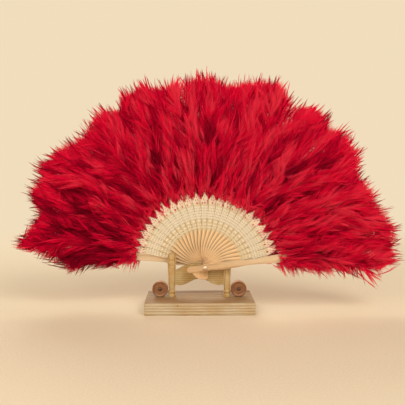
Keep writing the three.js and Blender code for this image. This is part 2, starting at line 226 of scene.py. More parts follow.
def makeBoard():
    width, depth, height = [v * mm for v in board["size"]]
    work = bmesh.new()
    bmesh.ops.create_cube(work, size=1)
    bmesh.ops.scale(work, vec=(width, depth, height), verts=work.verts)
    bmesh.ops.translate(work, vec=(0, 0, height / 2), verts=work.verts)
    bmesh.ops.bevel(work, geom=list(work.edges), offset=board["edge"] * mm, segments=board["edgeSteps"],
                    profile=0.5, affect="EDGES")
    mesh = bpy.data.meshes.new("pineBoard")
    work.to_mesh(mesh)
    work.free()
    for polygon in mesh.polygons:
        polygon.use_smooth = polygon.area < width * board["edge"] * mm / 2  # the rounded edges
    material, tree, shader, colour = woodMaterial("planedPine", board["wood"])
    away = addNode(tree, "VectorMath", {"operation": "DISTANCE", 1: [v * mm for v in board["knot"]]},
                   {0: addNode(tree, "TexCoord").outputs["Object"]})
    knotShare = addNode(tree, "MapRange", {
        "From Min": board["knotSize"] * mm / 2, "From Max": board["knotSize"] * mm,
        "To Min": 1.0, "To Max": 0.0,
    }, {"Value": away.outputs["Value"]})
    knotted = addNode(tree, "Mix", {"data_type": "RGBA", 7: linear(board["knotTone"])},
                      {"Factor": knotShare, 6: colour})
    # painted shade: the faces that look up are darkened
    normal = addNode(tree, "NewGeometry").outputs["Normal"]
    upward = addNode(tree, "SeparateXYZ", {}, {"Vector": normal}).outputs["Z"]
    paintedTopShare = addNode(tree, "MapRange", {"From Min": 0.6, "From Max": 0.95}, {"Value": upward})
    topShaded = addNode(tree, "Mix", {
        "data_type": "RGBA", "blend_type": "MULTIPLY", 7: linear(board["topTone"]),
    }, {"Factor": paintedTopShare, 6: knotted.outputs[2]})
    tree.links.new(topShaded.outputs[2], shader.inputs["Base Color"])
    settle(addPiece("pineBoard", mesh), material, "stand", "pine", "base_board")


# Turned pieces: a smooth profile round the vertical axis, or round one that runs to the back

def smoothProfile(points, steps):
    # a curve through all the points, with a number of steps from each to the next
    points = np.array(points, float)
    padded = np.vstack([points[0], points, points[-1]])
    out = []
    for i in range(len(points) - 1):
        a, b, c, d = padded[i:i + 4]
        for t in np.arange(steps) / steps:
            out.append(0.5 * (2 * b + (c - a) * t + (2 * a - 5 * b + 4 * c - d) * t ** 2
                              + (3 * b - a - 3 * c + d) * t ** 3))
    out = np.array(out + [points[-1]])
    out[:, 0] = np.maximum(out[:, 0], 0)
    return out


def turnedObject(name, profile, segments, centre, toBack=False):
    # profile is [radius, distance along the axis]; a closed profile ends where it starts
    angles = np.arange(segments) * 2 * np.pi / segments
    vertices = []
    for radius, along in profile:
        for angle in angles:
            x, y = radius * math.cos(angle), radius * math.sin(angle)
            local = (x, along, y) if toBack else (x, y, along)
            vertices.append([(c + v) * mm for c, v in zip(centre, local)])
    faces = []
    for row in range(len(profile) - 1):
        for k in range(segments):
            a, b = row * segments + k, row * segments + (k + 1) % segments
            quad = (a, b, b + segments, a + segments)
            faces.append(quad[::-1] if toBack else quad)
    mesh = bpy.data.meshes.new(name)
    mesh.from_pydata(vertices, [], faces)
    work = bmesh.new()
    work.from_mesh(mesh)
    bmesh.ops.remove_doubles(work, verts=work.verts, dist=1e-6)
    bmesh.ops.dissolve_degenerate(work, edges=work.edges, dist=1e-6)
    bmesh.ops.recalc_face_normals(work, faces=work.faces)
    work.to_mesh(mesh)
    work.free()
    for polygon in mesh.polygons:
        polygon.use_smooth = True
    return addPiece(name, mesh)


posts = {
    "spacing": 88.0,
    "segments": 72,
    "steps": 4,
    "profile": [
        # [radius, height above the board]
        [0.01, 0.0], [5.3, 0.0], [5.75, 0.7], [5.95, 2.4], [5.75, 4.2], [5.0, 4.9], [4.75, 5.6],
        [5.0, 6.3], [5.7, 7.2], [5.85, 8.5], [5.7, 9.8], [5.0, 10.7], [4.75, 11.5], [4.9, 13.2],
        [5.15, 18.0], [5.6, 30.0], [6.1, 42.0], [6.45, 48.4], [6.5, 49.8], [5.9, 50.6],
        [5.85, 51.1], [6.4, 51.7], [6.75, 52.8], [6.8, 54.4], [6.7, 56.0], [6.2, 57.4],
        [5.7, 58.3], [5.8, 59.1], [6.3, 60.0], [6.5, 62.0], [6.45, 64.4], [6.1, 66.6], [5.3, 68.4],
        [4.0, 69.6], [2.0, 70.3], [0.01, 70.5],
    ],
    "wood": {
        # turned pine: warm ochre with upright grain, a little deeper in tone than the board
        "roughness": 0.5, "gloss": 0.45, "bump": 0.2,
        "heart": (0, 12, 20), "turn": (0, 90, 0),
        "warpSize": 30, "warp": 1.6, "ring": 2.2, "fibre": 0.5, "blotch": 16,
        "rings": [(0.0, "#E2CEA6"), (0.5, "#D6C294"), (0.82, "#BEA676"), (1.0, "#A08858")],
        "fibreTone": "#EEDDBE", "blotchTone": "#ECD3A6",
    },
}


def makePosts():
    material = woodMaterial("turnedPine", posts["wood"])[0]
    profile = smoothProfile(posts["profile"], posts["steps"])
    for side, name in ((-1, "left"), (1, "right")):
        centre = (side * posts["spacing"] / 2, 0.0, board["size"][2])
        piece = turnedObject(f"{name}TurnedPost", profile, posts["segments"], centre)
        settle(piece, material, "stand", "turned_wood", f"{name}_post")


discs = {
    "place": 62.612,  # each side of the middle
    "height": 32.4,
    "segments": 80,
    "profile": [
        # [radius, depth] of the front half; the back is its mirror
        [2.0, -4.1], [4.4, -4.1], [4.8, -3.95], [5.2, -4.1], [7.6, -4.1], [8.0, -3.95], [8.4, -4.1],
        [9.8, -4.15], [10.3, -4.5], [10.9, -4.92], [11.6, -5.0], [12.2, -4.8], [12.55, -4.3],
        [12.6, -3.6], [12.6, 0.0],
    ],
    "wood": {
        # dark turned wood: brown, with the lathe's rings, and a painted highlight on its rim's top
        "roughness": 0.48, "gloss": 0.45, "bump": 0.3,
        "heart": (0, 20, 10), "turn": (0, 0, 90),
        "warpSize": 20, "warp": 2.0, "ring": 2.4, "fibre": 0.5, "blotch": 9,
        "rings": [(0.0, "#B2845A"), (0.45, "#A2744A"), (0.8, "#885C38"), (1.0, "#6C4426")],
        "fibreTone": "#D8C4B8", "blotchTone": "#E2CABC",
    },
    "wornTone": "#C48E5E",  # painted highlight where the light falls on the rim's top
    "wornShare": 0.75,
    "pinSegments": 40,
    "pinProfile": [
        [0.01, -6.0], [0.9, -5.96], [1.8, -5.7], [2.5, -5.2], [2.8, -4.6], [2.8, -4.42], [1.7, -4.4],
        [1.7, 0.0],
    ],
    "pinWood": {
        # stained hardwood pin: near black brown with a soft polish
        "roughness": 0.32, "gloss": 0.6, "bump": 0.15,
        "heart": (0, 20, 10), "turn": (0, 0, 90),
        "warpSize": 10, "warp": 0.6, "ring": 1.2, "fibre": 0.3, "blotch": 6,
        "rings": [(0.0, "#70452C"), (0.6, "#5A3520"), (1.0, "#402414")],
        "fibreTone": "#D8C4B8", "blotchTone": "#E2CABC",
    },
}


def mirrored(profile):
    # the front half of a profile and its mirror behind
    return profile + [[radius, -depth] for radius, depth in reversed(profile[:-1])]


def makeDiscs():
    discMaterial, tree, shader, colour = woodMaterial("darkTurnedWood", discs["wood"])
    # painted highlight: the rim's upward faces are lightened
    normal = addNode(tree, "NewGeometry").outputs["Normal"]
    upward = addNode(tree, "SeparateXYZ", {}, {"Vector": normal}).outputs["Z"]
    paintedTopShare = addNode(tree, "MapRange", {
        "From Min": 0.15, "From Max": 0.8, "To Max": discs["wornShare"],
    }, {"Value": upward})
    rimHighlighted = addNode(tree, "Mix", {"data_type": "RGBA", 7: linear(discs["wornTone"])},
                   {"Factor": paintedTopShare, 6: colour})
    tree.links.new(rimHighlighted.outputs[2], shader.inputs["Base Color"])
    pinMaterial = woodMaterial("stainedPin", discs["pinWood"])[0]
    profile = mirrored(discs["profile"])
    pinProfile = mirrored(discs["pinProfile"])
    for side, name in ((-1, "left"), (1, "right")):
        centre = (side * discs["place"], 0.0, discs["height"])
        disc = turnedObject(f"{name}TurnedDisc", profile + profile[:1], discs["segments"], centre, True)
        settle(disc, discMaterial, "stand", "dark_wood", f"{name}_disc")
        pin = turnedObject(f"{name}DiscPin", pinProfile, discs["pinSegments"], centre, True)
        settle(pin, pinMaterial, "stand", "pin_wood", f"{name}_disc_pin")


# Flat pieces: an outline and its holes, filled, given a thickness and softened edges

def flatMesh(name, outline, holes, thickness, edge):
    # outline and holes are [x, y]; the plate lies in local x and y, centred on z
    curve = bpy.data.curves.new(name, "CURVE")
    curve.dimensions = "2D"
    curve.fill_mode = "BOTH"
    for loop in [outline] + holes:
        spline = curve.splines.new("POLY")
        spline.points.add(len(loop) - 1)
        for point, (x, y) in zip(spline.points, loop):
            point.co = (x * mm, y * mm, 0, 1)
        spline.use_cyclic_u = True
    curve.extrude = (thickness / 2 - edge) * mm
    curve.bevel_depth = edge * mm
    curve.bevel_resolution = 1
    curve.offset = -edge * mm
    holder = addPiece(name + "Curve", curve)
    depsgraph = bpy.context.evaluated_depsgraph_get()
    mesh = bpy.data.meshes.new_from_object(holder.evaluated_get(depsgraph))
    bpy.data.objects.remove(holder)
    bpy.data.curves.remove(curve)
    mesh.name = name
    for polygon in mesh.polygons:
        polygon.use_smooth = False
    return mesh


apron = {
    "thickness": 4.0,
    "edge": 0.5,
    "halfWidth": 37.2,  # between the posts' faces
    "tenon": 3.0,
    # heights above the board: of the top at its ends and middle, then of the underside
    "endHeight": 43.0,
    "crown": 56.0,
    "lobe": 18.7,
    "arch": 29.0,
    "footHeight": 19.5,
    "lobeShare": 0.84,  # of the half width, from the middle to a lobe
    "slotRadius": 2.38,
    "slotSteps": 12,
    "steps": 64,
    "wood": {
        # thin sawn panel: greyer and more olive than the posts, grain along its length
        "roughness": 0.6, "gloss": 0.35, "bump": 0.25,
        "heart": (0, -30, 30), "turn": (0, 0, 0),
        "warpSize": 35, "warp": 3.0, "ring": 2.8, "fibre": 0.5, "blotch": 22,
        "rings": [(0.0, "#D8C69A"), (0.5, "#CCBA8C"), (0.85, "#B6A476"), (1.0, "#9C8A62")],
        "fibreTone": "#E4D3B4", "blotchTone": "#E6D0AC",
    },
}


def apronTop(x):
    way = math.cos(abs(x) / apron["halfWidth"] * math.pi / 2)
    return apron["endHeight"] + (apron["crown"] - apron["endHeight"]) * way


def apronUnderside(x):
    share = abs(x) / apron["halfWidth"]
    if share < apron["lobeShare"]:
        way = (1 - math.cos(math.pi * share / apron["lobeShare"])) / 2
        return apron["arch"] + (apron["lobe"] - apron["arch"]) * way
    way = (share - apron["lobeShare"]) / (1 - apron["lobeShare"])
    return apron["lobe"] + (apron["footHeight"] - apron["lobe"]) * way


def makeApron():
    half, steps, radius, foot = apron["halfWidth"], apron["steps"], apron["slotRadius"], board["size"][2]
    pivotX, pivotZ = fan["pivot"][0], fan["pivot"][2] - foot
    xs = [half * (2 * i / steps - 1) for i in range(steps + 1)]
    under = [[x, apronUnderside(x)] for x in xs]
    right = [[x, apronTop(x)] for x in reversed(xs) if x > pivotX + radius]
    left = [[x, apronTop(x)] for x in reversed(xs) if x < pivotX - radius]
    bottom = [[pivotX + radius * math.cos(a), pivotZ - radius * math.sin(a)]
              for a in np.linspace(0, math.pi, apron["slotSteps"] + 1)]
    slot = [[pivotX + radius, apronTop(pivotX + radius)]] + bottom
    slot += [[pivotX - radius, apronTop(pivotX - radius)]]
    end, low, high = half + apron["tenon"], apron["footHeight"], apron["endHeight"]
    outline = [[-end, low]] + under + [[end, low], [end, high]] + right + slot + left + [[-end, high]]
    mesh = flatMesh("apronPanel", outline, [], apron["thickness"], apron["edge"])
    upright = Matrix(((1, 0, 0, 0), (0, 0, -1, 0), (0, 1, 0, foot * mm), (0, 0, 0, 1)))
    mesh.transform(upright)
    material = woodMaterial("sawnPanel", apron["wood"])[0]
    settle(addPiece("apronPanel", mesh), material, "stand", "apron_wood", "apron")


# Rivet and washer

rivet = {
    "segments": 48,
    "profile": [
        # [radius, depth], from the domed head in front to the peened tail behind
        [0.01, -21.6], [1.1, -21.55], [2.1, -21.3], [2.9, -20.85], [3.35, -20.35], [3.4, -20.05],
        [3.3, -20.0], [2.0, -19.98], [2.0, 20.0], [2.9, 20.0], [3.0, 20.15], [2.85, 20.6],
        [2.2, 21.0], [1.0, 21.15], [0.01, 21.1],
    ],
    "washerProfile": [
        [2.35, 18.85], [4.3, 18.82], [4.6, 19.0], [4.6, 19.4], [4.3, 19.6], [2.35, 19.56], [2.35, 18.85],
    ],
    "tones": [(0.35, "#D8BFA2"), (0.65, "#F0DCC6")],
    "smudge": 1.6,  # across a rubbed patch
    "roughness": 0.42,
}


def makeRivet():
    # nickel plated steel, peened: a bright dome with faint rubbed smudges
    material, tree, shader = newMaterial("platedRivetSteel", {
        "Metallic": 1.0,
        "Roughness": rivet["roughness"],
    })
    smudges = addNode(tree, "TexNoise", {"Scale": 1 / (rivet["smudge"] * mm), "Detail": 3.0},
                      {"Vector": addNode(tree, "TexCoord").outputs["Object"]})
    tone = addNode(tree, "ValToRGB", {"stops": rivet["tones"]}, {"Fac": smudges})
    tree.links.new(tone.outputs[0], shader.inputs["Base Color"])
    bump = addNode(tree, "Bump", {"Strength": 0.15, "Distance": 0.1 * mm}, {"Height": smudges})
    tree.links.new(bump.outputs["Normal"], shader.inputs["Normal"])
    head = turnedObject("domedRivet", rivet["profile"], rivet["segments"], fan["pivot"], True)
    settle(head, material, "fan_core", "rivet_metal", "rivet")
    washer = turnedObject("rivetWasherRing", rivet["washerProfile"], rivet["segments"], fan["pivot"], True)
    settle(washer, material, "fan_core", "rivet_metal", "rivet_washer")


# Sticks and guards

sticks = {
    "thickness": 0.9,
    "edge": 0.18,
    "buttReach": 21.5,
    "buttWidth": 10.8,
    "buttSteps": 15,
    "half": [
        # [radius, half width] from the rivet outwards: gorge, scalloped lace, flame tips, rib
        [6, 5.3], [12, 5.35], [18, 5.65], [24, 6.0], [30, 6.2], [36, 6.05], [42, 5.5], [48, 4.7],
        [53, 3.95], [57, 3.55], [59.5, 3.7], [61.5, 4.5],
        [64, 4.3], [66.5, 4.8], [69, 4.5], [71.5, 5.1], [74, 4.8], [76.5, 5.35], [79, 5.0],
        [81.5, 5.6], [84, 5.25], [86.5, 5.85], [89, 5.5], [91.5, 6.1], [94, 5.75], [97, 6.2],
        [99.5, 6.0], [102.5, 6.5], [108.6, 6.9], [105.8, 5.4], [107.0, 4.7], [112.2, 4.4], [109.2, 3.2],
        [110.4, 2.6], [115.4, 2.0], [112.4, 1.4], [121, 1.3], [160, 1.25], [199.4, 1.1],
    ],
    "smoothHalf": [
        # the same without its scallops, for the shading of the ribs
        (0, 5.3), (12, 5.35), (18, 5.65), (24, 6.0), (30, 6.2), (36, 6.05), (42, 5.5), (48, 4.7),
        (53, 3.95), (57, 3.55), (63, 4.5), (95, 6.0), (106, 6.4), (120, 6.4),
    ],
    # piercings, [radius, across, length, width, corners, turn in radians], on both sides of the slots
    "innerHoles": [
        [62.6, -2.3, 2.4, 1.5, 6, 0], [62.6, 0.0, 2.4, 1.5, 6, 0], [62.6, 2.3, 2.4, 1.5, 6, 0],
        [67.2, -1.8, 2.7, 2.3, 8, 0], [67.2, 1.6, 2.7, 2.3, 8, 0], [73.0, 0.2, 2.6, 6.0, 12, 0],
    ],
    "slots": {"from": 76.4, "rows": 5, "pitch": 4.2, "length": 3.2, "width": 1.7,
              "across": (-3.75, -1.25, 1.25, 3.75)},
    "outerHoles": [
        [100.8, 0.0, 5.2, 3.0, 4, 0], [100.8, -3.8, 4.2, 1.9, 4, -0.1], [106.4, -1.7, 3.8, 1.2, 6, -0.16],
        [100.8, 3.8, 4.2, 1.9, 4, 0.1], [106.4, 1.7, 3.8, 1.2, 6, 0.16], [110.4, 0.0, 2.8, 1.1, 6, 0],
    ],
    "guardThickness": 3.0,
    "guardEdge": 0.7,
    "guardButtReach": 28.5,
    "guardButtWidth": 9.6,
    "guardButtSteps": 17,
    "guardHalf": [
        [0, 4.6], [12, 4.9], [25, 5.5], [35, 5.85], [42, 5.9], [50, 5.5], [58, 4.7], [64, 4.2],
        [70, 4.15], [80, 4.5], [95, 5.4], [110, 6.3], [120, 6.7], [127, 6.5], [134, 5.6], [142, 4.6],
        [155, 3.7], [175, 3.0], [195.4, 2.5],
    ],
    "pivotRadius": 2.3,
    "pivotSteps": 16,
    "fibreStops": (0.32, 0.5, 0.70),
    "tones": ("#F0C68E", "#F9D19C", "#FFDCAA"),  # dark, middle and pale fibres of the gorge
    "zones": [
        # where other tones begin and are complete, from the rivet: the lace, then its tips, painted paler and
        # pinker with the red light the feathers reflect on them
        [(55.5, 59.0), ("#C6AE82", "#D6BF94", "#E8D2AA")],
        [(96.0, 107.0), ("#E2C6A5", "#F1D5BB", "#FCE4CE")],
    ],
    "guardTones": ("#BF9A6A", "#CDA87A", "#D8B388"),
    "guardZones": [
        # the guards turn paler away from the hand
        [(0.0, 90.0), ("#CCAE84", "#DABD96", "#E4C8A2")],
    ],
    "roughness": 0.5,
    "gloss": 0.4,
    "fibre": 0.7,  # across the grain; real birch is finer, and wouldn't show
    "cutTone": "#A97C4A",  # the browned edge that the die leaves
    # painted shade: how a rib darkens from its free edge to where the next stick covers it, in the gorge and
    # the lace
    "ribTones": [
        (0.0, 0.97), (0.06, 0.99), (0.24, 0.93), (0.45, 0.79), (0.7, 0.6), (0.88, 0.42), (1.0, 0.36),
    ],
    "laceRibTones": [(0.0, 1.0), (0.6, 1.0), (0.8, 0.93), (0.93, 0.8), (1.0, 0.5)],
    "ribsFrom": (16.0, 32.0),  # where that begins and is complete
    "mapPitch": 50.0,  # how far apart the sticks lie in their map
}


def bladeOutline(reach, width, half, steps):
    # a round butt behind the rivet, then the lower edge outwards and the upper one back
    centre = -(reach - width / 2)
    butt = [[centre + width / 2 * math.cos(a), width / 2 * math.sin(a)]
            for a in np.linspace(math.pi / 2, 3 * math.pi / 2, steps)]
    lower = [[radius, -across] for radius, across in half]
    upper = [[radius, across] for radius, across in reversed(half)]
    return butt + lower + upper


def ellipse(radius, across, length, width, points, turn):
    angles = np.arange(points) * 2 * np.pi / points
    c, s = math.cos(turn), math.sin(turn)
    return [[radius + c * length / 2 * math.cos(a) - s * width / 2 * math.sin(a),
             across + s * length / 2 * math.cos(a) + c * width / 2 * math.sin(a)] for a in angles]


def lacePiercing():
    slots = sticks["slots"]
    holes = [ellipse(*hole) for hole in sticks["innerHoles"]]
    for row in range(slots["rows"]):
        low = slots["from"] + row * slots["pitch"]
        high = low + slots["length"]
        for across in slots["across"]:
            near, far = across - slots["width"] / 2, across + slots["width"] / 2
            holes.append([[low, near], [high, near], [high, far], [low, far]])
    return holes + [ellipse(*hole) for hole in sticks["outerHoles"]]


def ribShade(tree, along, across, laceShare):
    # painted shade: a rib darkens towards where the next stick covers it
    # across comes from the map, where each stick has its own cell; toBack is -1 in front, 1 behind and 0
    # on a cut edge
    normal = addNode(tree, "NewGeometry").outputs["Normal"]
    toBack = addNode(tree, "SeparateXYZ", {}, {"Vector": normal}).outputs["Y"]
    pitch = sticks["mapPitch"] * mm
    cells = addNode(tree, "Math", {"operation": "MULTIPLY", 1: 1 / pitch}, {0: across})
    within = addNode(tree, "Math", {"operation": "FRACT"}, {0: cells})
    fromMiddle = addNode(tree, "Math", {"operation": "MULTIPLY_ADD", 1: pitch, 2: -pitch / 2}, {0: within})
    seen = addNode(tree, "Math", {"operation": "MULTIPLY"}, {0: fromMiddle, 1: toBack})
    reach, widest = sticks["smoothHalf"][-1][0], 10
    stops = [(radius / reach, half / widest) for radius, half in sticks["smoothHalf"]]
    way = addNode(tree, "Math", {"operation": "MULTIPLY", 1: 1 / (reach * mm)}, {0: along})
    halfShare = addNode(tree, "ValToRGB", {"stops": stops}, {"Fac": way})
    half = addNode(tree, "Math", {"operation": "MULTIPLY", 1: widest * mm}, {0: halfShare})
    fromEdge = addNode(tree, "Math", {"operation": "ADD"}, {0: half, 1: seen})
    strip = addNode(tree, "Math", {"operation": "MULTIPLY", 1: math.sin(math.radians(anglePitch))},
                    {0: along})
    ratio = addNode(tree, "Math", {"operation": "DIVIDE", "use_clamp": True}, {0: fromEdge, 1: strip})
    gorgeTone = addNode(tree, "ValToRGB", {"stops": sticks["ribTones"]}, {"Fac": ratio})
    laceTone = addNode(tree, "ValToRGB", {"stops": sticks["laceRibTones"]}, {"Fac": ratio})
    tone = addNode(tree, "Mix", {"data_type": "RGBA"}, {"Factor": laceShare, 6: gorgeTone, 7: laceTone})
    return tone.outputs[2], toBack


def stickMaterial(name, tones, zones, ribbed):
    # die cut birch: pale, close grained and satin, and warmer in the ribs near the rivet
    material, tree, shader = newMaterial(name, {
        "Roughness": sticks["roughness"],
        "IOR": 1.5,
        "Specular IOR Level": sticks["gloss"],
    })
    place = addNode(tree, "UVMap", {"uv_map": "stickMap"})
    parts = addNode(tree, "SeparateXYZ", {}, {"Vector": place})
    along, across = parts.outputs["X"], parts.outputs["Y"]
    grainPlace = addNode(tree, "VectorMath", {"operation": "MULTIPLY", 1: (0.03, 1, 1)}, {0: place})
    fibres = addNode(tree, "TexNoise", {
        "Scale": 1 / (sticks["fibre"] * mm), "Detail": 4.0, "Roughness": 0.65,
    }, {"Vector": grainPlace})
    shares = []
    colour = addNode(tree, "ValToRGB", {"stops": list(zip(sticks["fibreStops"], tones))}, {"Fac": fibres})
    colour = colour.outputs[0]
    for (start, end), zoneTones in zones:
        tone = addNode(tree, "ValToRGB", {"stops": list(zip(sticks["fibreStops"], zoneTones))},
                       {"Fac": fibres})
        shares.append(addNode(tree, "MapRange", {"From Min": start * mm, "From Max": end * mm},
                              {"Value": along}))
        colour = addNode(tree, "Mix", {"data_type": "RGBA"}, {"Factor": shares[-1], 6: colour, 7: tone})
        colour = colour.outputs[2]
    if ribbed:
        # painted shade on the ribs, then the browned cut edges
        shade, toBack = ribShade(tree, along, across, shares[0])
        start, end = sticks["ribsFrom"]
        near = addNode(tree, "MapRange", {"From Min": start * mm, "From Max": end * mm}, {"Value": along})
        colour = addNode(tree, "Mix", {"data_type": "RGBA", "blend_type": "MULTIPLY"},
                         {"Factor": near, 6: colour, 7: shade}).outputs[2]
        flat = addNode(tree, "Math", {"operation": "ABSOLUTE"}, {0: toBack})
        cut = addNode(tree, "MapRange", {"From Min": 0.95, "From Max": 0.6}, {"Value": flat})
        colour = addNode(tree, "Mix", {"data_type": "RGBA", 7: linear(sticks["cutTone"])},
                         {"Factor": cut, 6: colour}).outputs[2]
    tree.links.new(colour, shader.inputs["Base Color"])
    bump = addNode(tree, "Bump", {"Strength": 0.15, "Distance": 0.1 * mm}, {"Height": fibres})
    tree.links.new(bump.outputs["Normal"], shader.inputs["Normal"])
    return material


def stickObject(name, source, index):
    mesh = source.copy()
    mesh.name = name
    # the map holds each point's radius and place across the stick, set apart from its neighbours
    coords = np.zeros(len(mesh.vertices) * 3)
    mesh.vertices.foreach_get("co", coords)
    coords = coords.reshape(-1, 3)
    loops = np.zeros(len(mesh.loops), int)
    mesh.loops.foreach_get("vertex_index", loops)
    layer = mesh.uv_layers.new(name="stickMap")
    places = coords[loops][:, :2] + [0.0, sticks["mapPitch"] * mm * (index + 0.5)]
    layer.data.foreach_set("uv", places.ravel())
    coords[:, 2] += flexAt(index, coords[:, 0] / mm) * mm
    mesh.vertices.foreach_set("co", coords.ravel())
    mesh.transform(stickFrame(index))
    return addPiece(name, mesh)


def makeSticks():
    pivotWidth = sticks["pivotRadius"] * 2
    pivotHole = ellipse(0, 0, pivotWidth, pivotWidth, sticks["pivotSteps"], 0)
    outline = bladeOutline(sticks["buttReach"], sticks["buttWidth"], sticks["half"], sticks["buttSteps"])
    holes = [pivotHole] + lacePiercing()
    pierced = flatMesh("piercedStick", outline, holes, sticks["thickness"], sticks["edge"])
    guardHalf = smoothProfile(sticks["guardHalf"], 4).tolist()
    outline = bladeOutline(sticks["guardButtReach"], sticks["guardButtWidth"], guardHalf,
                           sticks["guardButtSteps"])
    guard = flatMesh("guardStick", outline, [pivotHole], sticks["guardThickness"], sticks["guardEdge"])
    stickWood = stickMaterial("dieCutBirch", sticks["tones"], sticks["zones"], True)
    guardWood = stickMaterial("polishedBirchGuard", sticks["guardTones"], sticks["guardZones"], False)
    for index in range(fan["stickCount"]):
        if index in (0, lastStick):
            side = "back" if index else "front"
            piece = stickObject(f"{side}GuardBlade", guard, index)
            settle(piece, guardWood, stickBody(index), "guard_wood", f"{side}_guard")
        else:
            piece = stickObject(f"laceStick_{index:02d}", pierced, index)
            settle(piece, stickWood, stickBody(index), "stick_wood", f"stick_{index:02d}")
    bpy.data.meshes.remove(pierced)
    bpy.data.meshes.remove(guard)
    print("sticks:", fan["stickCount"])


# Feathers: every plume is a few curved feathers and much loose down, drawn as tufts of fine strands

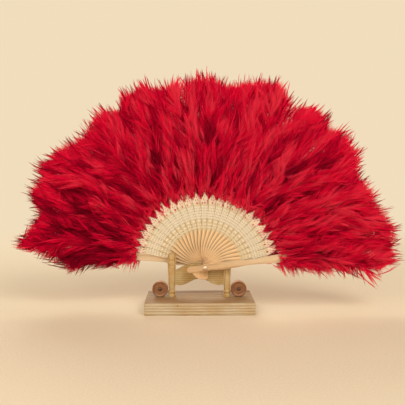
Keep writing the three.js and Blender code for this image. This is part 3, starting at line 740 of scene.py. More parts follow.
feathers = {
    "seed": 41,
    "reach": [
        # [angle, outer radius] round the open fan
        [-20, 200], [-10, 262], [-6, 288], [-3, 296], [3, 306], [8, 302], [12, 314], [14, 299],
        [18, 303], [22, 290], [26, 296], [30, 286], [34, 294], [37, 312], [40, 302], [45, 310],
        [48, 298], [51, 310], [57, 305], [62, 298], [68, 316], [72, 310], [76, 304], [80, 297],
        [84, 292], [87, 303], [93, 303], [96, 294], [100, 300], [104, 293], [108, 308], [112, 303],
        [116, 306], [119, 287], [124, 302], [128, 296], [132, 286], [136, 291], [141, 303],
        [144, 304], [149, 315], [152, 298], [156, 312], [160, 294], [164, 282], [168, 292],
        [172, 303], [174, 315], [176, 292], [178, 270], [182, 246], [186, 226], [200, 200],
    ],
    "underside": [
        # [x, z] from the rivet: how far the end feathers hang
        [-330, 36], [-304, 27], [-285, 22], [-275, 10], [-247, 6], [-238, -8], [-228, -9], [-219, -17],
        [-209, -14], [-200, -8], [-185, -10], [-171, -5], [-152, 0], [-143, -3], [-124, -11], [-110, -8],
        [-100, 0], [0, 0], [100, -8], [117, -15], [154, -15], [164, -10], [192, -16], [240, -16],
        [249, -24], [268, -32], [278, -27], [287, -9], [297, 4], [330, 20],
    ],
    "cover": [
        # [angle, radius] where down begins to cover the sticks
        [-10, 123], [4, 125], [30, 122], [50, 121], [54, 114], [66, 114], [72, 116], [82, 118], [88, 123],
        [97, 124], [104, 120], [116, 119], [120, 125], [140, 125], [146, 122], [156, 121], [162, 117],
        [190, 116],
    ],
    "edge": (-7.0, 4.0),  # mean and spread: where the feathers end, from the outline of their wisps
    "lobes": [-4, 3, 12, 22, 33, 43, 55, 68, 81, 94, 109, 124, 138, 149, 158, 166, 173, 180],
    "lobePull": 0.15,  # how far feathers gather towards their lobe's middle
    "sweep": 3.0,  # how far the outermost feathers sag round the fan, at its sides
    "droop": 0.14,  # how much gravity turns a tip
    # curved feathers: how many on a stick, where their quills begin, the length of their barbs and how
    # far they rise from the stick
    "long": {"count": 3, "spread": 0.7, "from": 120.0, "root": (-2, 12), "barb": 54.0, "depth": 7.0},
    "outer": {"count": 2, "spread": 0.5, "from": 0.0, "root": (165, 200), "barb": 48.0, "depth": 5.0},
    "mid": {"count": 2, "spread": 0.6, "root": (122, 160), "length": (60, 85), "barb": 38.0, "depth": 10.0},
    "hangingAngles": (1.2, 2.6, 4.0, 5.2),  # below an end stick, for its further feathers
    "tipInset": (27, 4),  # from the outline to a quill's end, and its spread
    "barbs": {
        # the tufts along a quill: the angle at which they leave it, its change towards the tip and its
        # spread, the angle that they turn to and its spread, and how they shorten
        "spacing": 9.5, "azimuths": ([0, 180, 90], [20, 160, 60, 120]), "azimuthSpread": 16,
        "leave": (42, -14, 8), "lie": (14, 7), "shorten": 0.28, "overShorten": 0.22,
        "size": (0.8, 1.12), "width": (1.8, 4.2), "closeness": (0.0, 0.3), "toneSpread": 0.17,
    },
    "tip": {
        # the tufts that fan out at a quill's end; tone is what is added to the feather's, and its spread
        "halfAngle": 44, "count": 11, "spread": 4, "rise": 0.16, "back": 10, "curl": 0.08,
        "size": (0.52, 0.74), "width": (1.8, 3.6), "closeness": (0.0, 0.3), "tone": (0.04, 0.1),
    },
    # Tufts that lie along the fan. A pair is a range, lean and bend are spreads in degrees, closeness is
    # how wide the tuft still is at its tips, and hair is 1 where a strand stands alone.
    "collar": {
        # short ones where a plume begins
        "count": 19, "place": (-7, 5), "depth": (2.0, 6.0), "lean": 26, "bend": 16, "size": (13, 27),
        "width": (1.0, 2.6), "closeness": (0.0, 0.4), "tone": 0.8, "toneSpread": 0.2,
    },
    "down": {
        "from": 100.0, "to": 210.0, "spacing": (5, 8), "coverSpread": 1.5, "behind": 1.2,
        "depth": (4, 12), "lean": 15, "bend": 12, "size": (22, 42),
        "width": (2.0, 4.4), "closeness": (0.0, 0.1), "tone": 0.56, "toneSpread": 0.23,
    },
    "fill": {
        # an even inner layer, so that no light shows between the feathers; count is at a radius of 200
        "count": 6, "endMore": 2, "from": 119.0, "to": 300, "spacing": 8.0, "inset": 24,
        "depth": (0.5, 5), "lean": 10, "bend": 10, "size": (38, 54),
        # its tone is deeper: painted shade for a layer that lies inside
        "width": (4.5, 7.0), "closeness": (0.3, 0.6), "tone": 0.42, "toneSpread": 0.14,
    },
    "wisp": {
        # loose hairs on each plume's outline; past is how far they stand out from it
        "count": 20, "past": (-1.0, 12.0), "depth": (1, 9), "lean": 9, "bend": 10, "size": (34, 52),
        "width": (0.1, 0.4), "closeness": 0.2, "tone": 0.12, "toneSpread": 0.14, "hair": 1,
    },
    "fringe": {
        # and tufts whose barbs end one by one
        "count": 24, "past": (-5.0, 4.0), "depth": (1, 9), "lean": 12, "bend": 12, "size": (26, 40),
        "width": (2.0, 4.5), "closeness": (0.9, 1.5), "tone": 0.5, "toneSpread": 0.14,
    },
    "hanging": {
        # below the end feathers: close together near the sticks, and steeper there
        "left": 113, "right": 122, "closeTo": 158, "to": 302, "closeStep": 1.2, "step": 2.4, "spread": 1.5,
        "steepFrom": 100, "steepOver": 60, "away": (15, 52), "past": (-5.0, 5.0), "size": (30, 46),
        "depth": (0, 8), "lean": 0, "bend": 8, "width": (0.8, 2.4), "closeness": (0.0, 1.0),
        "tone": 0.5, "toneSpread": 0.16,
    },
    "hangingHair": {
        "share": 0.5, "further": 4, "depth": (0, 8), "lean": 0, "bend": 8, "width": 0.3,
        "closeness": (0.0, 1.0), "tone": 0.3, "toneSpread": 0.16, "hair": 1,
    },
    "strands": 13,  # in one tuft
    "endStrands": 9,  # in one of the two end plumes, which have more tufts
    "steps": 4,  # bends along a strand
    "strandRadius": 0.24,  # a real barb is a tenth of this, too fine to draw
    "taper": (0.7, 1.3),  # how much of that a strand loses towards its tip, and how late
    "strandLength": (0.62, 1.0),
    "longShare": 0.08,  # of the strands are longer
    "longer": 1.2,
    "swell": 3.2,  # how far a tuft opens halfway along
    "rootSwell": 0.4,
    "flatness": 0.7,  # of a tuft's depth to its width
    "wave": 4.4,  # radians of a strand's own bend
    "swing": (0.3, 1.6),
    "rootRow": 3.5,  # how far strands are moved to and fro along their tuft, so their roots form a row
    "stoutShare": 0.08,  # of the strands are thicker
    "stout": 1.7,  # by this much
    "hairStout": 1.75,  # a hair's, so that it shows from afar
    "swirl": 14.0,  # how far the down is combed to and fro
    "swirlSizes": (150.0, 320.0, 60.0, 150.0),  # its waves along the feathers and across them
    "shade": [
        # [angle, tone] painted light and shade: how much lighter or deeper the feathers are round the fan
        [-10, 0.02], [15, 0.03], [40, 0.09], [90, 0.13], [125, 0.15], [134, 0.05], [143, -0.2], [156, -0.36],
        [168, -0.42], [185, -0.36],
    ],
    "shadeShare": [
        # [radius, share] how much of that shows
        [120, 0.2], [160, 1.0], [218, 1.0], [250, 0.6], [300, 0.6],
    ],
    "depthTone": [
        # [radius, tone] painted shade where the plumes crowd, and painted light near their ends
        [112, 0.14], [128, 0.0], [140, -0.1], [175, -0.13], [212, -0.06], [245, 0.01], [270, 0.12],
        [300, 0.18],
    ],
    "patch": [
        # [radius, tone] how much lighter and deeper patches differ: partly random dye, partly painted shade
        # on the deep patches, which lie lower
        [120, 0.2], [160, 0.29], [220, 0.26], [265, 0.12], [300, 0.08],
    ],
    "patchSizes": (70.0, 160.0, 16.0, 50.0),
    "relief": 0.5,  # how much deeper the deep patches lie
    "rootShade": [
        # [radius, place along the ramp of painted root shade] roots are painted less shaded where the down
        # begins and at the outline
        [112, 0.4], [138, 0.02], [190, 0.02], [275, 0.45],
    ],
    "tipShade": 0.98,
    "toneColumns": 60,
    "tones": [(0.0, "#74001C"), (0.25, "#B4002A"), (0.5, "#F0003C"), (0.75, "#FF1243"), (1.0, "#FF3A54")],
    # painted shade along a strand, from its root to its tip
    "alongTones": [(0.0, 0.5), (0.25, 0.74), (0.6, 1.0), (0.85, 1.0)],
    "glossTone": "#FF8088",
    "sheenTone": "#FF2440",
    "roughness": 0.5,
    "squashKeep": 0.1,
}


def curveAt(name, place):
    table = np.array(feathers[name], float)
    return np.interp(place, table[:, 0], table[:, 1])


def reachAt(angle):
    return float(curveAt("reach", angle))


def waveField(seed, sizes, count=10):
    # a smooth field of waves over the fan, about -1 to 1, from a radius and a length of arc
    rng = np.random.default_rng(seed)
    alongLow, alongHigh, acrossLow, acrossHigh = sizes
    along = 2 * np.pi / rng.uniform(alongLow, alongHigh, count)
    across = 2 * np.pi / rng.uniform(acrossLow, acrossHigh, count) * rng.choice([-1, 1], count)
    phase = rng.uniform(0, 2 * np.pi, count)

    def at(radius, arc):
        turns = np.multiply.outer(radius, along) + np.multiply.outer(arc, across) + phase
        return np.sin(turns).sum(axis=-1) * 1.3 / math.sqrt(count)

    return at


swirlField = waveField(feathers["seed"], feathers["swirlSizes"])
patchField = waveField(feathers["seed"] + 1, feathers["patchSizes"])
arcRadius = 200.0  # where a length of arc is measured


def fanPlace(points, index):
    # radius and length of arc of points in a stick's own frame
    turn = np.arctan2(points[..., 1], points[..., 0]) + math.radians(stickAngle(index))
    return np.hypot(points[..., 0], points[..., 1]), turn * arcRadius


def unit(v):
    return v / np.maximum(np.linalg.norm(v, axis=-1, keepdims=True), 1e-12)


def drawn(rng, value):
    # a pair is a range to draw from, and a number stays as it is
    return rng.uniform(*value) if isinstance(value, tuple) else value


def addTuft(tufts, base, start, end, length, width, closeness, tone, past, hair=0):
    # past is how far its tips may pass the fan's outline
    tufts.append(np.concatenate([base, start, end, [length, width, closeness, tone, past, hair]]))


def addFeather(rng, tufts, index, face, rootRadius, tipRadius, offset, sweep, barb, tone, depth):
    # one feather: tufts of barbs on both sides of a curved quill and over its face. Angles are from the
    # stick, and face is -1 for the fan's front and 1 for its back.
    barbs, ends = feathers["barbs"], feathers["tip"]
    angle = math.radians(stickAngle(index))
    down = np.array([-math.sin(angle), -math.cos(angle), 0.0])
    length = tipRadius - rootRadius
    stations = max(4, int(length / barbs["spacing"]))
    wave = rng.normal(0, 1.5)
    depth *= rng.uniform(0.1, 1.15)

    def quill(s):
        radius = rootRadius + length * s
        turn = math.radians(offset + sweep * s ** 1.6 + wave * math.sin(2.6 * s * math.pi))
        return np.array([radius * math.cos(turn), radius * math.sin(turn),
                         face * (1.5 + depth * math.sin(min(1.0, s * 1.15) * math.pi * 0.62))])

    for k in range(stations + 1):
        s = (k + rng.uniform(-0.3, 0.3)) / stations
        s = min(1.0, max(0.0, s))
        here = quill(s)
        along = unit(quill(min(1.0, s + 0.02)) - quill(max(0.0, s - 0.02)))
        normal = unit(np.cross([0, 0, 1.0], along))
        outward = np.array([0, 0, float(face)])
        leaving, closing, leaveSpread = barbs["leave"]
        for azimuth in barbs["azimuths"][0 if k % 2 else 1]:
            a = math.radians(azimuth + rng.normal(0, barbs["azimuthSpread"]))
            lateral = normal * math.cos(a) + outward * math.sin(a)
            leave = math.radians(leaving + closing * s + rng.normal(0, leaveSpread))
            lie = math.radians(barbs["lie"][0] + rng.normal(0, barbs["lie"][1]))
            over = math.sin(a)
            start = unit(along * math.cos(leave) + lateral * math.sin(leave))
            end = unit(along * math.cos(lie) + lateral * math.sin(lie) * (1 - 0.8 * over)
                       + down * feathers["droop"] * rng.uniform(0.4, 1.3))
            size = barb * (1.0 - barbs["shorten"] * s) * drawn(rng, barbs["size"])
            size *= 1 - barbs["overShorten"] * over
            addTuft(tufts, here, start, end, size, drawn(rng, barbs["width"]), drawn(rng, barbs["closeness"]),
                    tone + rng.normal(0, barbs["toneSpread"]), rng.normal(*feathers["edge"]))
    tip = quill(1.0)
    along = unit(quill(1.0) - quill(0.94))
    normal = unit(np.cross([0, 0, 1.0], along))
    for turn in np.linspace(-ends["halfAngle"], ends["halfAngle"], ends["count"]):
        a = math.radians(turn + rng.normal(0, ends["spread"]))
        rise = np.array([0, 0, rng.normal(0, ends["rise"])])
        start = unit(along * math.cos(a) + normal * math.sin(a) + rise)
        end = unit(start + down * feathers["droop"] * rng.uniform(0.2, 1.0)
                   + normal * rng.normal(0, ends["curl"]))
        base = tip - along * rng.uniform(0, ends["back"])
        addTuft(tufts, base, start, end, barb * drawn(rng, ends["size"]), drawn(rng, ends["width"]),
                drawn(rng, ends["closeness"]), tone + rng.normal(*ends["tone"]),
                rng.normal(*feathers["edge"]))


def flatTuft(rng, tufts, kind, radius, turn, face, depth=None, lean=0, size=None, past=None):
    # a tuft that lies along the fan, turned from the stick and leaning from there
    look = feathers[kind]
    depth = drawn(rng, look["depth"]) if depth is None else depth
    if look["lean"]:
        lean += rng.normal(0, look["lean"])
    bend = rng.normal(0, look["bend"])
    size = drawn(rng, look["size"]) if size is None else size
    width = drawn(rng, look["width"])
    closeness = drawn(rng, look["closeness"])
    tone = look["tone"] + rng.normal(0, look["toneSpread"])
    past = rng.normal(*feathers["edge"]) if past is None else past
    a = math.radians(turn)
    base = np.array([radius * math.cos(a), radius * math.sin(a), face * depth])
    out = math.radians(turn + lean)
    later = math.radians(turn + lean + bend)
    start = np.array([math.cos(out), math.sin(out), face * rng.uniform(0.05, 0.4)])
    end = np.array([math.cos(later), math.sin(later), -face * 0.1])
    addTuft(tufts, base, unit(start), unit(end), size, width, closeness, tone, past, look.get("hair", 0))


def nearestLobe(angle):
    # the lobe's place in the list and how far away it is
    lobes = np.array(feathers["lobes"], float)
    nearest = int(np.argmin(abs(lobes - angle)))
    return nearest, lobes[nearest] - angle


def plumeTufts(rng, index):
    tufts = []
    angle = stickAngle(index)
    sag = -math.cos(math.radians(angle))  # gravity turns the outer ends downwards at both sides
    side = {0: -1, lastStick: 1}.get(index, 0)
    hanging = [side * v for v in feathers["hangingAngles"]] if side else []
    long, outer, mid = feathers["long"], feathers["outer"], feathers["mid"]
    longOffsets = [(j / (long["count"] - 1) - 0.5) * long["spread"] * anglePitch
                   for j in range(long["count"])]
    outerOffsets = [(j + 0.5 - outer["count"] / 2) * outer["spread"] * anglePitch
                    for j in range(outer["count"])]
    plans = []
    for look, offsets in ((long, longOffsets + hanging), (outer, outerOffsets)):
        for offset in offsets:
            plans.append((offset, look["from"] + rng.uniform(*look["root"]), look["barb"], look["depth"]))
    for j, (offset, root, barb, depth) in enumerate(plans):
        face = -1 if (j + index) % 2 else 1
        offset += rng.normal(0, 0.5)
        lobe, toLobe = nearestLobe(angle + offset + feathers["sweep"] * sag)
        sweep = feathers["sweep"] * sag + feathers["lobePull"] * toLobe + rng.normal(0, 1.2)
        inset, insetSpread = feathers["tipInset"]
        tipRadius = reachAt(angle + offset + sweep) - inset + rng.normal(0, insetSpread)
        # every second lobe stands out more and is painted a little lighter, the others deeper, as light and
        # shade between the lobes
        tone = 0.56 + (0.06 if lobe % 2 else -0.04) + rng.normal(0, 0.15)
        depth += 3 * (lobe % 2)
        addFeather(rng, tufts, index, face, root, tipRadius, offset, sweep, barb, tone, depth)
    for j in range(mid["count"] + len(hanging) // 2):
        face = (-1, 1, -1)[j % 3]
        offset = rng.uniform(-mid["spread"], mid["spread"]) * anglePitch
        if j >= mid["count"]:
            offset = hanging[1 + j - mid["count"]] + rng.normal(0, 1)
        root = rng.uniform(*mid["root"])
        tipRadius = root + rng.uniform(*mid["length"])
        sweep = 1.2 * sag + rng.normal(0, 3)
        tone = 0.5 + rng.normal(0, 0.16)
        addFeather(rng, tufts, index, face, root, tipRadius, offset, sweep, mid["barb"], tone, mid["depth"])
    edges = sorted([-0.62 * anglePitch, 0.62 * anglePitch] + hanging)
    spread = edges[0], edges[-1]
    addDown(rng, tufts, index, spread)
    addFill(rng, tufts, index, spread, sag)
    addWisps(rng, tufts, index, spread, side, sag)
    if side:
        addHanging(rng, tufts, index, side)
    return np.array(tufts)


def addDown(rng, tufts, index, spread):
    # short soft down from the sticks' tips outwards, with a close collar where it begins
    angle = stickAngle(index)
    collar, down = feathers["collar"], feathers["down"]
    for j in range(collar["count"]):
        turn = rng.uniform(*spread)
        radius = float(curveAt("cover", angle + turn)) + rng.uniform(*collar["place"])
        flatTuft(rng, tufts, "collar", radius, turn, 1 if j % 4 == 3 else -1)
    radius = down["from"]
    while radius < down["to"]:
        for face in (-1, -1, -1, 1):
            turn = rng.uniform(*spread)
            depth = rng.uniform(*down["depth"])
            covered = radius > curveAt("cover", angle + turn) + rng.normal(0, down["coverSpread"])
            if not covered:
                # near the lace the down lies behind the sticks
                face, depth = 1, down["behind"]
            flatTuft(rng, tufts, "down", radius, turn, face, depth)
        radius += rng.uniform(*down["spacing"])


def addFill(rng, tufts, index, spread, sag):
    fill = feathers["fill"]
    low, high = spread
    more = fill["endMore"] if index in (0, lastStick) else 0
    radius = fill["from"]
    while radius < fill["to"]:
        for j in range(round(fill["count"] * radius / arcRadius + more)):
            turn = rng.uniform(low, high) + feathers["sweep"] * sag * (radius - 120) / 180
            if radius < reachAt(stickAngle(index) + turn) - fill["inset"]:
                flatTuft(rng, tufts, "fill", radius, turn, rng.choice([-1, 1]))
        radius += fill["spacing"]


def addWisps(rng, tufts, index, spread, side, sag):
    # loose barbs at the outline and past it, also all round an end plume's lower corner
    low, high = spread
    if side:
        low, high = sorted([low if side > 0 else high, side * 8.0])
    for kind in ("wisp", "fringe"):
        look = feathers[kind]
        for j in range(look["count"] * (2 if side else 1)):
            turn = rng.uniform(low, high) + feathers["sweep"] * sag
            past = rng.uniform(*look["past"])
            size = rng.uniform(*look["size"])
            radius = reachAt(stickAngle(index) + turn) + past - size
            flatTuft(rng, tufts, kind, radius, turn, rng.choice([-1, 1]), None, 4 * sag, size, past)


def addHanging(rng, tufts, index, side):
    look, hairs = feathers["hanging"], feathers["hangingHair"]
    angle = math.radians(stickAngle(index))
    start = look["right" if side < 0 else "left"]
    places = np.append(np.arange(start, look["closeTo"], look["closeStep"]),
                       np.arange(look["closeTo"], look["to"], look["step"]))
    for x in places:
        near = min(1.0, (x - look["steepFrom"]) / look["steepOver"])
        x = -side * (x + rng.normal(0, look["spread"]))
        hair = near == 1 and rng.random() < hairs["share"]
        z = float(curveAt("underside", x))
        past = rng.uniform(*look["past"])
        size = rng.uniform(*look["size"]) * (0.6 + 0.4 * near)
        way = math.radians(-90 - side * rng.uniform(*look["away"]) * (0.2 + 0.8 * near))
        rootX, rootZ = x - size * math.cos(way), z - past - size * math.sin(way)
        local = rootX * math.cos(angle) + rootZ * math.sin(angle)
        over = rootZ * math.cos(angle) - rootX * math.sin(angle)
        turn = math.degrees(math.atan2(over, local))
        lean = math.degrees(way) - stickAngle(index) - turn
        kind = "hangingHair" if hair else "hanging"
        past += hairs["further"] if hair else 0
        face = rng.choice([-1, 1])
        flatTuft(rng, tufts, kind, math.hypot(local, over), turn, face, None, lean, size, past)


def strandsOf(index):
    return feathers["endStrands" if index in (0, lastStick) else "strands"]


def combed(direction, base, radius, arc):
    # the fan's outer layers are turned to and fro, and the inner one lies straight
    comb = np.radians(feathers["swirl"]) * swirlField(radius, arc) * np.clip((radius - 110) / 80, 0, 1)
    comb *= np.clip((abs(base[:, 2]) - 2) / 5, 0, 1)
    return np.stack([direction[:, 0] * np.cos(comb) - direction[:, 1] * np.sin(comb),
                     direction[:, 0] * np.sin(comb) + direction[:, 1] * np.cos(comb),
                     direction[:, 2]], axis=1)


def strandPaths(rng, tufts, index):
    # every tuft becomes a bundle of bent strands that swell from their roots and close at the tips
    each, steps = strandsOf(index), feathers["steps"]
    rows = np.repeat(tufts, each, axis=0)
    count = len(rows)
    patch = np.repeat(patchField(*fanPlace(tufts[:, 0:3] + tufts[:, 6:9] * 15, index)), each)
    base, start, end = rows[:, 0:3], rows[:, 3:6], rows[:, 6:9]
    base[:, 2] *= 1 + feathers["relief"] * np.clip(patch, -1, 0.6)
    length, width, closeness, tone = rows[:, 9], rows[:, 10], rows[:, 11], rows[:, 12]
    across = np.clip(rng.normal(0, 0.5, count), -1, 1)
    deep = np.clip(rng.normal(0, 0.5, count), -1, 1)
    hair = rows[:, 14] > 0
    share = rng.uniform(*feathers["strandLength"], count)
    share *= np.where(rng.random(count) < feathers["longShare"], feathers["longer"], 1.0)
    length = length * np.where(hair, 0.8 + 0.2 * share, share)
    side = unit(np.cross(start, [0, 0, 1.0]))
    lift = unit(np.cross(side, start))
    phase = np.repeat(rng.uniform(0, 2 * np.pi, len(tufts)), each) + rng.normal(0, 0.5, count)
    swing = np.repeat(rng.uniform(*feathers["swing"], len(tufts)), each)
    times = np.linspace(0, 1, steps + 1)
    spine = np.zeros((count, steps + 1, 3))
    for k in range(steps):
        turn = ((times[k] + times[k + 1]) / 2) ** 0.8
        direction = combed(unit(start * (1 - turn) + end * turn), base, *fanPlace(base + spine[:, k], index))
        spine[:, k + 1] = spine[:, k] + direction * (length / steps)[:, None]
    paths = np.zeros_like(spine)
    for k, t in enumerate(times):
        swell = feathers["rootSwell"] * (1 - t) + feathers["swell"] * t * (1 - t) + closeness * t
        bend = swing * np.sin(phase + feathers["wave"] * t) * t
        paths[:, k] = (base + spine[:, k] + side * (across * width * swell + bend)[:, None]
                       + lift * (deep * width * feathers["flatness"] * swell)[:, None])
    paths += (end * (rng.uniform(-1, 1, count) * feathers["rootRow"])[:, None])[:, None, :]
    radius, arc = fanPlace(paths[:, 2], index)
    # painted shade and light by radius, and in the lighter and deeper patches
    tone = tone + curveAt("patch", radius) * patch + curveAt("depthTone", radius)
    # painted light and shade round the fan
    tone += curveAt("shade", np.degrees(arc / arcRadius)) * curveAt("shadeShare", radius)
    stout = rng.random(count) < feathers["stoutShare"]
    # two in three thicker strands are painted lighter, as highlights, and the rest deeper
    tone = np.where(stout & ~hair, tone + rng.choice([-0.2, 0.25, 0.25], count), tone)
    size = np.where(hair, feathers["hairStout"], np.where(stout, feathers["stout"], 1.0))
    return paths, np.clip(tone + rng.normal(0, 0.09, count), 0, 1), size


def trimmed(paths, tone, size, tufts, index):
    # a tuft that would pass the fan's outline is made smaller as a whole, so it keeps its point
    angle = math.radians(stickAngle(index))
    c, s = math.cos(angle), math.sin(angle)
    rootX, tipX = [c * paths[:, k, 0] - s * paths[:, k, 1] for k in (0, -1)]
    rootZ, tipZ = [s * paths[:, k, 0] + c * paths[:, k, 1] for k in (0, -1)]
    turn = np.degrees(np.arctan2(tipZ, tipX))
    turn = np.where(turn < -90, turn + 360, turn)
    each = strandsOf(index)
    past = np.repeat(tufts[:, 13], each)
    limit = curveAt("reach", turn) + past
    tip, root = np.hypot(tipX, tipZ), np.hypot(rootX, rootZ)
    share = np.where(tip > limit, (limit - root) / np.maximum(tip - root, 1), 1)
    floor = curveAt("underside", tipX) - past
    share = np.minimum(share, np.where(tipZ < floor, (rootZ - floor) / np.maximum(rootZ - tipZ, 1), 1))
    share = np.clip(share, 0.12, 1).reshape(-1, each)
    whole = np.quantile(share, 0.25, axis=1)[:, None]
    share = np.minimum(share + 0.03, whole).reshape(-1)[:, None, None]
    kept = np.repeat(whole[:, 0] > 0.3, each)  # what grows outside the outline is left out
    return (paths[:, :1] + (paths - paths[:, :1]) * share)[kept], tone[kept], size[kept]


def strandMesh(name, paths, tone, size):
    # three sided, tapering to a point. The map runs across by tone and along by length, so the
    # colour depends on it alone.
    count, rings = paths.shape[0], paths.shape[1] - 1
    along = unit(np.gradient(paths, axis=1))
    side = unit(np.cross(along, [0.02, 0.05, 1.0]))
    lift = np.cross(side, along)
    lost, late = feathers["taper"]
    taper = 1 - lost * (np.arange(rings) / rings) ** late
    radius = feathers["strandRadius"] * np.outer(size, taper)
    perStrand = rings * 3 + 1
    verts = np.zeros((count, perStrand, 3))
    for corner in range(3):
        angle = math.radians(90 + 120 * corner)
        around = math.cos(angle) * side[:, :rings] + math.sin(angle) * lift[:, :rings]
        verts[:, corner:rings * 3:3] = paths[:, :rings] + around * radius[:, :, None]
    verts[:, -1] = paths[:, -1]
    quads = []
    for ring in range(rings - 1):
        for corner in range(3):
            a, b = ring * 3 + corner, ring * 3 + (corner + 1) % 3
            quads.append([a, a + 3, b + 3, b])
    tips = [[(rings - 1) * 3 + c, rings * 3, (rings - 1) * 3 + (c + 1) % 3] for c in range(3)]
    pattern = np.array([v for f in quads + tips for v in f])
    faceSizes = np.tile([4] * len(quads) + [3] * len(tips), count)
    loopVerts = (pattern[None, :] + np.arange(count)[:, None] * perStrand).ravel()
    mesh = bpy.data.meshes.new(name)
    mesh.vertices.add(count * perStrand)
    mesh.vertices.foreach_set("co", verts.reshape(-1) * mm)
    mesh.loops.add(len(loopVerts))
    mesh.loops.foreach_set("vertex_index", loopVerts)
    mesh.polygons.add(len(faceSizes))
    mesh.polygons.foreach_set("loop_start", np.concatenate([[0], np.cumsum(faceSizes)[:-1]]))
    columns = feathers["toneColumns"]
    column = np.minimum((tone * columns).astype(int), columns - 1)
    first = curveAt("rootShade", np.hypot(paths[:, 0, 0], paths[:, 0, 1]))
    u = np.zeros((count, perStrand))
    v = np.zeros((count, perStrand))
    for ring in range(rings):
        for corner, shift in enumerate((0.0, 0.5, 0.25)):
            u[:, ring * 3 + corner] = (column + 0.25 + shift) / columns
            v[:, ring * 3 + corner] = first + (feathers["tipShade"] - first) * ring / rings
    u[:, -1] = (column + 0.5) / columns
    v[:, -1] = feathers["tipShade"]
    layer = mesh.uv_layers.new(name="OFBake")
    pairs = np.stack([u.ravel(), v.ravel()], axis=1)
    layer.data.foreach_set("uv", pairs[loopVerts].ravel())
    mesh.update(calc_edges=True)
    mesh.validate()
    mesh.polygons.foreach_set("use_smooth", np.ones(len(faceSizes), bool))
    return mesh


def featherMaterial():
    # dyed marabou: soft barbs in crimson to bright red; painted shade deepens them towards their roots, and
    # their tips stay bright
    material, tree, shader = newMaterial("dyedMarabou", {
        "Roughness": feathers["roughness"],
        "IOR": 1.5,
        "Specular IOR Level": 0.15,
        "Specular Tint": linear(feathers["glossTone"]),
        "Sheen Weight": 0.3,
        "Sheen Roughness": 0.5,
        "Sheen Tint": linear(feathers["sheenTone"]),
    })
    parts = addNode(tree, "SeparateXYZ", {}, {"Vector": addNode(tree, "UVMap", {"uv_map": "OFBake"})})
    dye = addNode(tree, "ValToRGB", {"stops": feathers["tones"]}, {"Fac": parts.outputs["X"]})
    # painted shade along each strand, deepest at its root
    depth = addNode(tree, "ValToRGB", {"stops": feathers["alongTones"]}, {"Fac": parts.outputs["Y"]})
    colour = addNode(tree, "Mix", {"data_type": "RGBA", "blend_type": "MULTIPLY", "Factor": 1.0},
                     {6: dye, 7: depth})
    tree.links.new(colour.outputs[2], shader.inputs["Base Color"])
    return material


def makePlumes():
    material = featherMaterial()
    counts = []
    for index in range(fan["stickCount"]):
        name = f"marabouPlume_{index:02d}"
        rng = np.random.default_rng(feathers["seed"] + index)
        tufts = plumeTufts(rng, index)
        paths, tone, size = trimmed(*strandPaths(rng, tufts, index), tufts, index)
        paths[:, :, 2] += flexAt(index, fan["flexRadii"][1])  # they lie beyond the sticks' bend
        mesh = strandMesh(name, paths, tone, size)
        mesh.transform(stickFrame(index))
        piece = addPiece(name, mesh)
        settle(piece, material, stickBody(index), "feather", f"plume_{index:02d}")
        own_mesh(piece)
        counts.append(len(paths))
    print("feather strands:", sum(counts), "most in a plume:", max(counts))


# Stage and lamps in metres and watts, and the camera's place in millimetres

stage = {
    "paper": "#F1DDBC",
    "floor": "#E8D6B6",
    "grain": 0.0025,  # of the paper's faint mottling
    "floorRadii": [0.0, 0.4, 0.8, 1.2, 1.6, 1.9],
    "bend": 0.7,  # radius of the curve from the floor up to the back
    "height": 2.6,
    "glowFrom": (0.35, 1.3),  # how far from the middle the paper turns even
    "lamps": [
        # name, place, size, power
        ["keyLamp", (0.85, -1.3, 1.35), 1.1, 18.0],
        ["fillLamp", (-0.9, -1.45, 0.7), 1.4, 12.0],
        ["backLamp", (-0.4, 1.3, 1.2), 1.2, 13.0],
    ],
    "aim": (0.0, 0.0, 0.17),
    "world": "#F6F8FF",
    "worldStrength": 0.4,
}

view = {
    "place": (-15.4, -888.4, 228.7),
    "turn": (86.24, 0.0, -1.31),
    "focal": 562.0,  # pixels over the picture's 405
    "frame": 405.0,
    "sensor": 36.0,
}


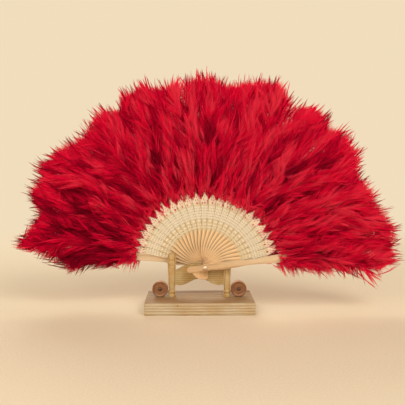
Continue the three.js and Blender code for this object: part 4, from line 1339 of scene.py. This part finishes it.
def makePaper():
    # matte studio paper: a plain level floor whose edge curves up all round, with a faint mottling
    material, tree, shader = newMaterial("mattePaper", {"Roughness": 0.95, "Specular IOR Level": 0.1})
    place = addNode(tree, "TexCoord").outputs["Object"]
    away = addNode(tree, "VectorMath", {"operation": "LENGTH"}, {0: place})
    near, far = stage["glowFrom"]
    share = addNode(tree, "MapRange", {"From Min": near, "From Max": far}, {"Value": away.outputs["Value"]})
    grain = addNode(tree, "TexNoise", {"Scale": 1 / stage["grain"], "Detail": 2.0}, {"Vector": place})
    paper = addNode(tree, "ValToRGB", {"stops": [(0.3, stage["floor"]), (0.7, stage["paper"])]},
                    {"Fac": grain})
    tree.links.new(paper.outputs[0], shader.inputs["Base Color"])
    # the camera and the shiny pieces see the far paper at its plain colour
    glow = addNode(tree, "Emission", {"Color": linear(stage["paper"]), "Strength": 1.0})
    path = addNode(tree, "LightPath")
    shown = path.outputs["Is Camera Ray"]
    for ray in ("Is Glossy Ray", "Is Transmission Ray"):
        shown = addNode(tree, "Math", {"operation": "ADD", "use_clamp": True},
                        {0: shown, 1: path.outputs[ray]})
    seen = addNode(tree, "Math", {"operation": "MULTIPLY"}, {0: share, 1: shown})
    mixed = addNode(tree, "MixShader", {}, {0: seen, 1: shader, 2: glow})
    tree.links.new(mixed.outputs[0], tree.nodes["Material Output"].inputs["Surface"])
    return material


def makeStage():
    bend, start = stage["bend"], stage["floorRadii"][-1]
    profile = [[radius / mm, -0.02] for radius in stage["floorRadii"]]
    for a in np.linspace(0.15, math.pi / 2, 10):
        profile.append([(start + bend * math.sin(a)) / mm, bend * (1 - math.cos(a)) / mm - 0.02])
    profile.append([(start + bend) / mm, stage["height"] / mm])
    sweep = turnedObject("paperSweep", profile, 96, (0, 0, 0))
    sweep.data.materials.append(makePaper())
    world = bpy.data.worlds.new("studioWorld")
    world.use_nodes = True
    background = world.node_tree.nodes["Background"]
    background.inputs["Color"].default_value = linear(stage["world"])
    background.inputs["Strength"].default_value = stage["worldStrength"]
    scene.world = world
    for name, place, size, power in stage["lamps"]:
        lamp = bpy.data.lights.new(name, "AREA")
        lamp.shape = "DISK"
        lamp.size = size
        lamp.energy = power
        holder = addPiece(name, lamp)
        holder.location = place
        holder.rotation_euler = (Vector(stage["aim"]) - Vector(place)).to_track_quat("-Z", "Y").to_euler()


def makeCamera():
    data = bpy.data.cameras.new("photoCamera")
    data.sensor_width = view["sensor"]
    data.lens = view["sensor"] * view["focal"] / view["frame"]
    data.clip_start = 0.01
    data.clip_end = 50.0
    camera = addPiece("photoCamera", data)
    camera.location = [v * mm for v in view["place"]]
    camera.rotation_euler = [math.radians(a) for a in view["turn"]]
    scene.camera = camera


makeCamera()
makeStage()
print("stage and camera set")
makeBoard()
makePosts()
makeDiscs()
makeApron()
print("stand built")
makeRivet()
makeSticks()
makePlumes()

scene.view_settings.view_transform = "Standard"
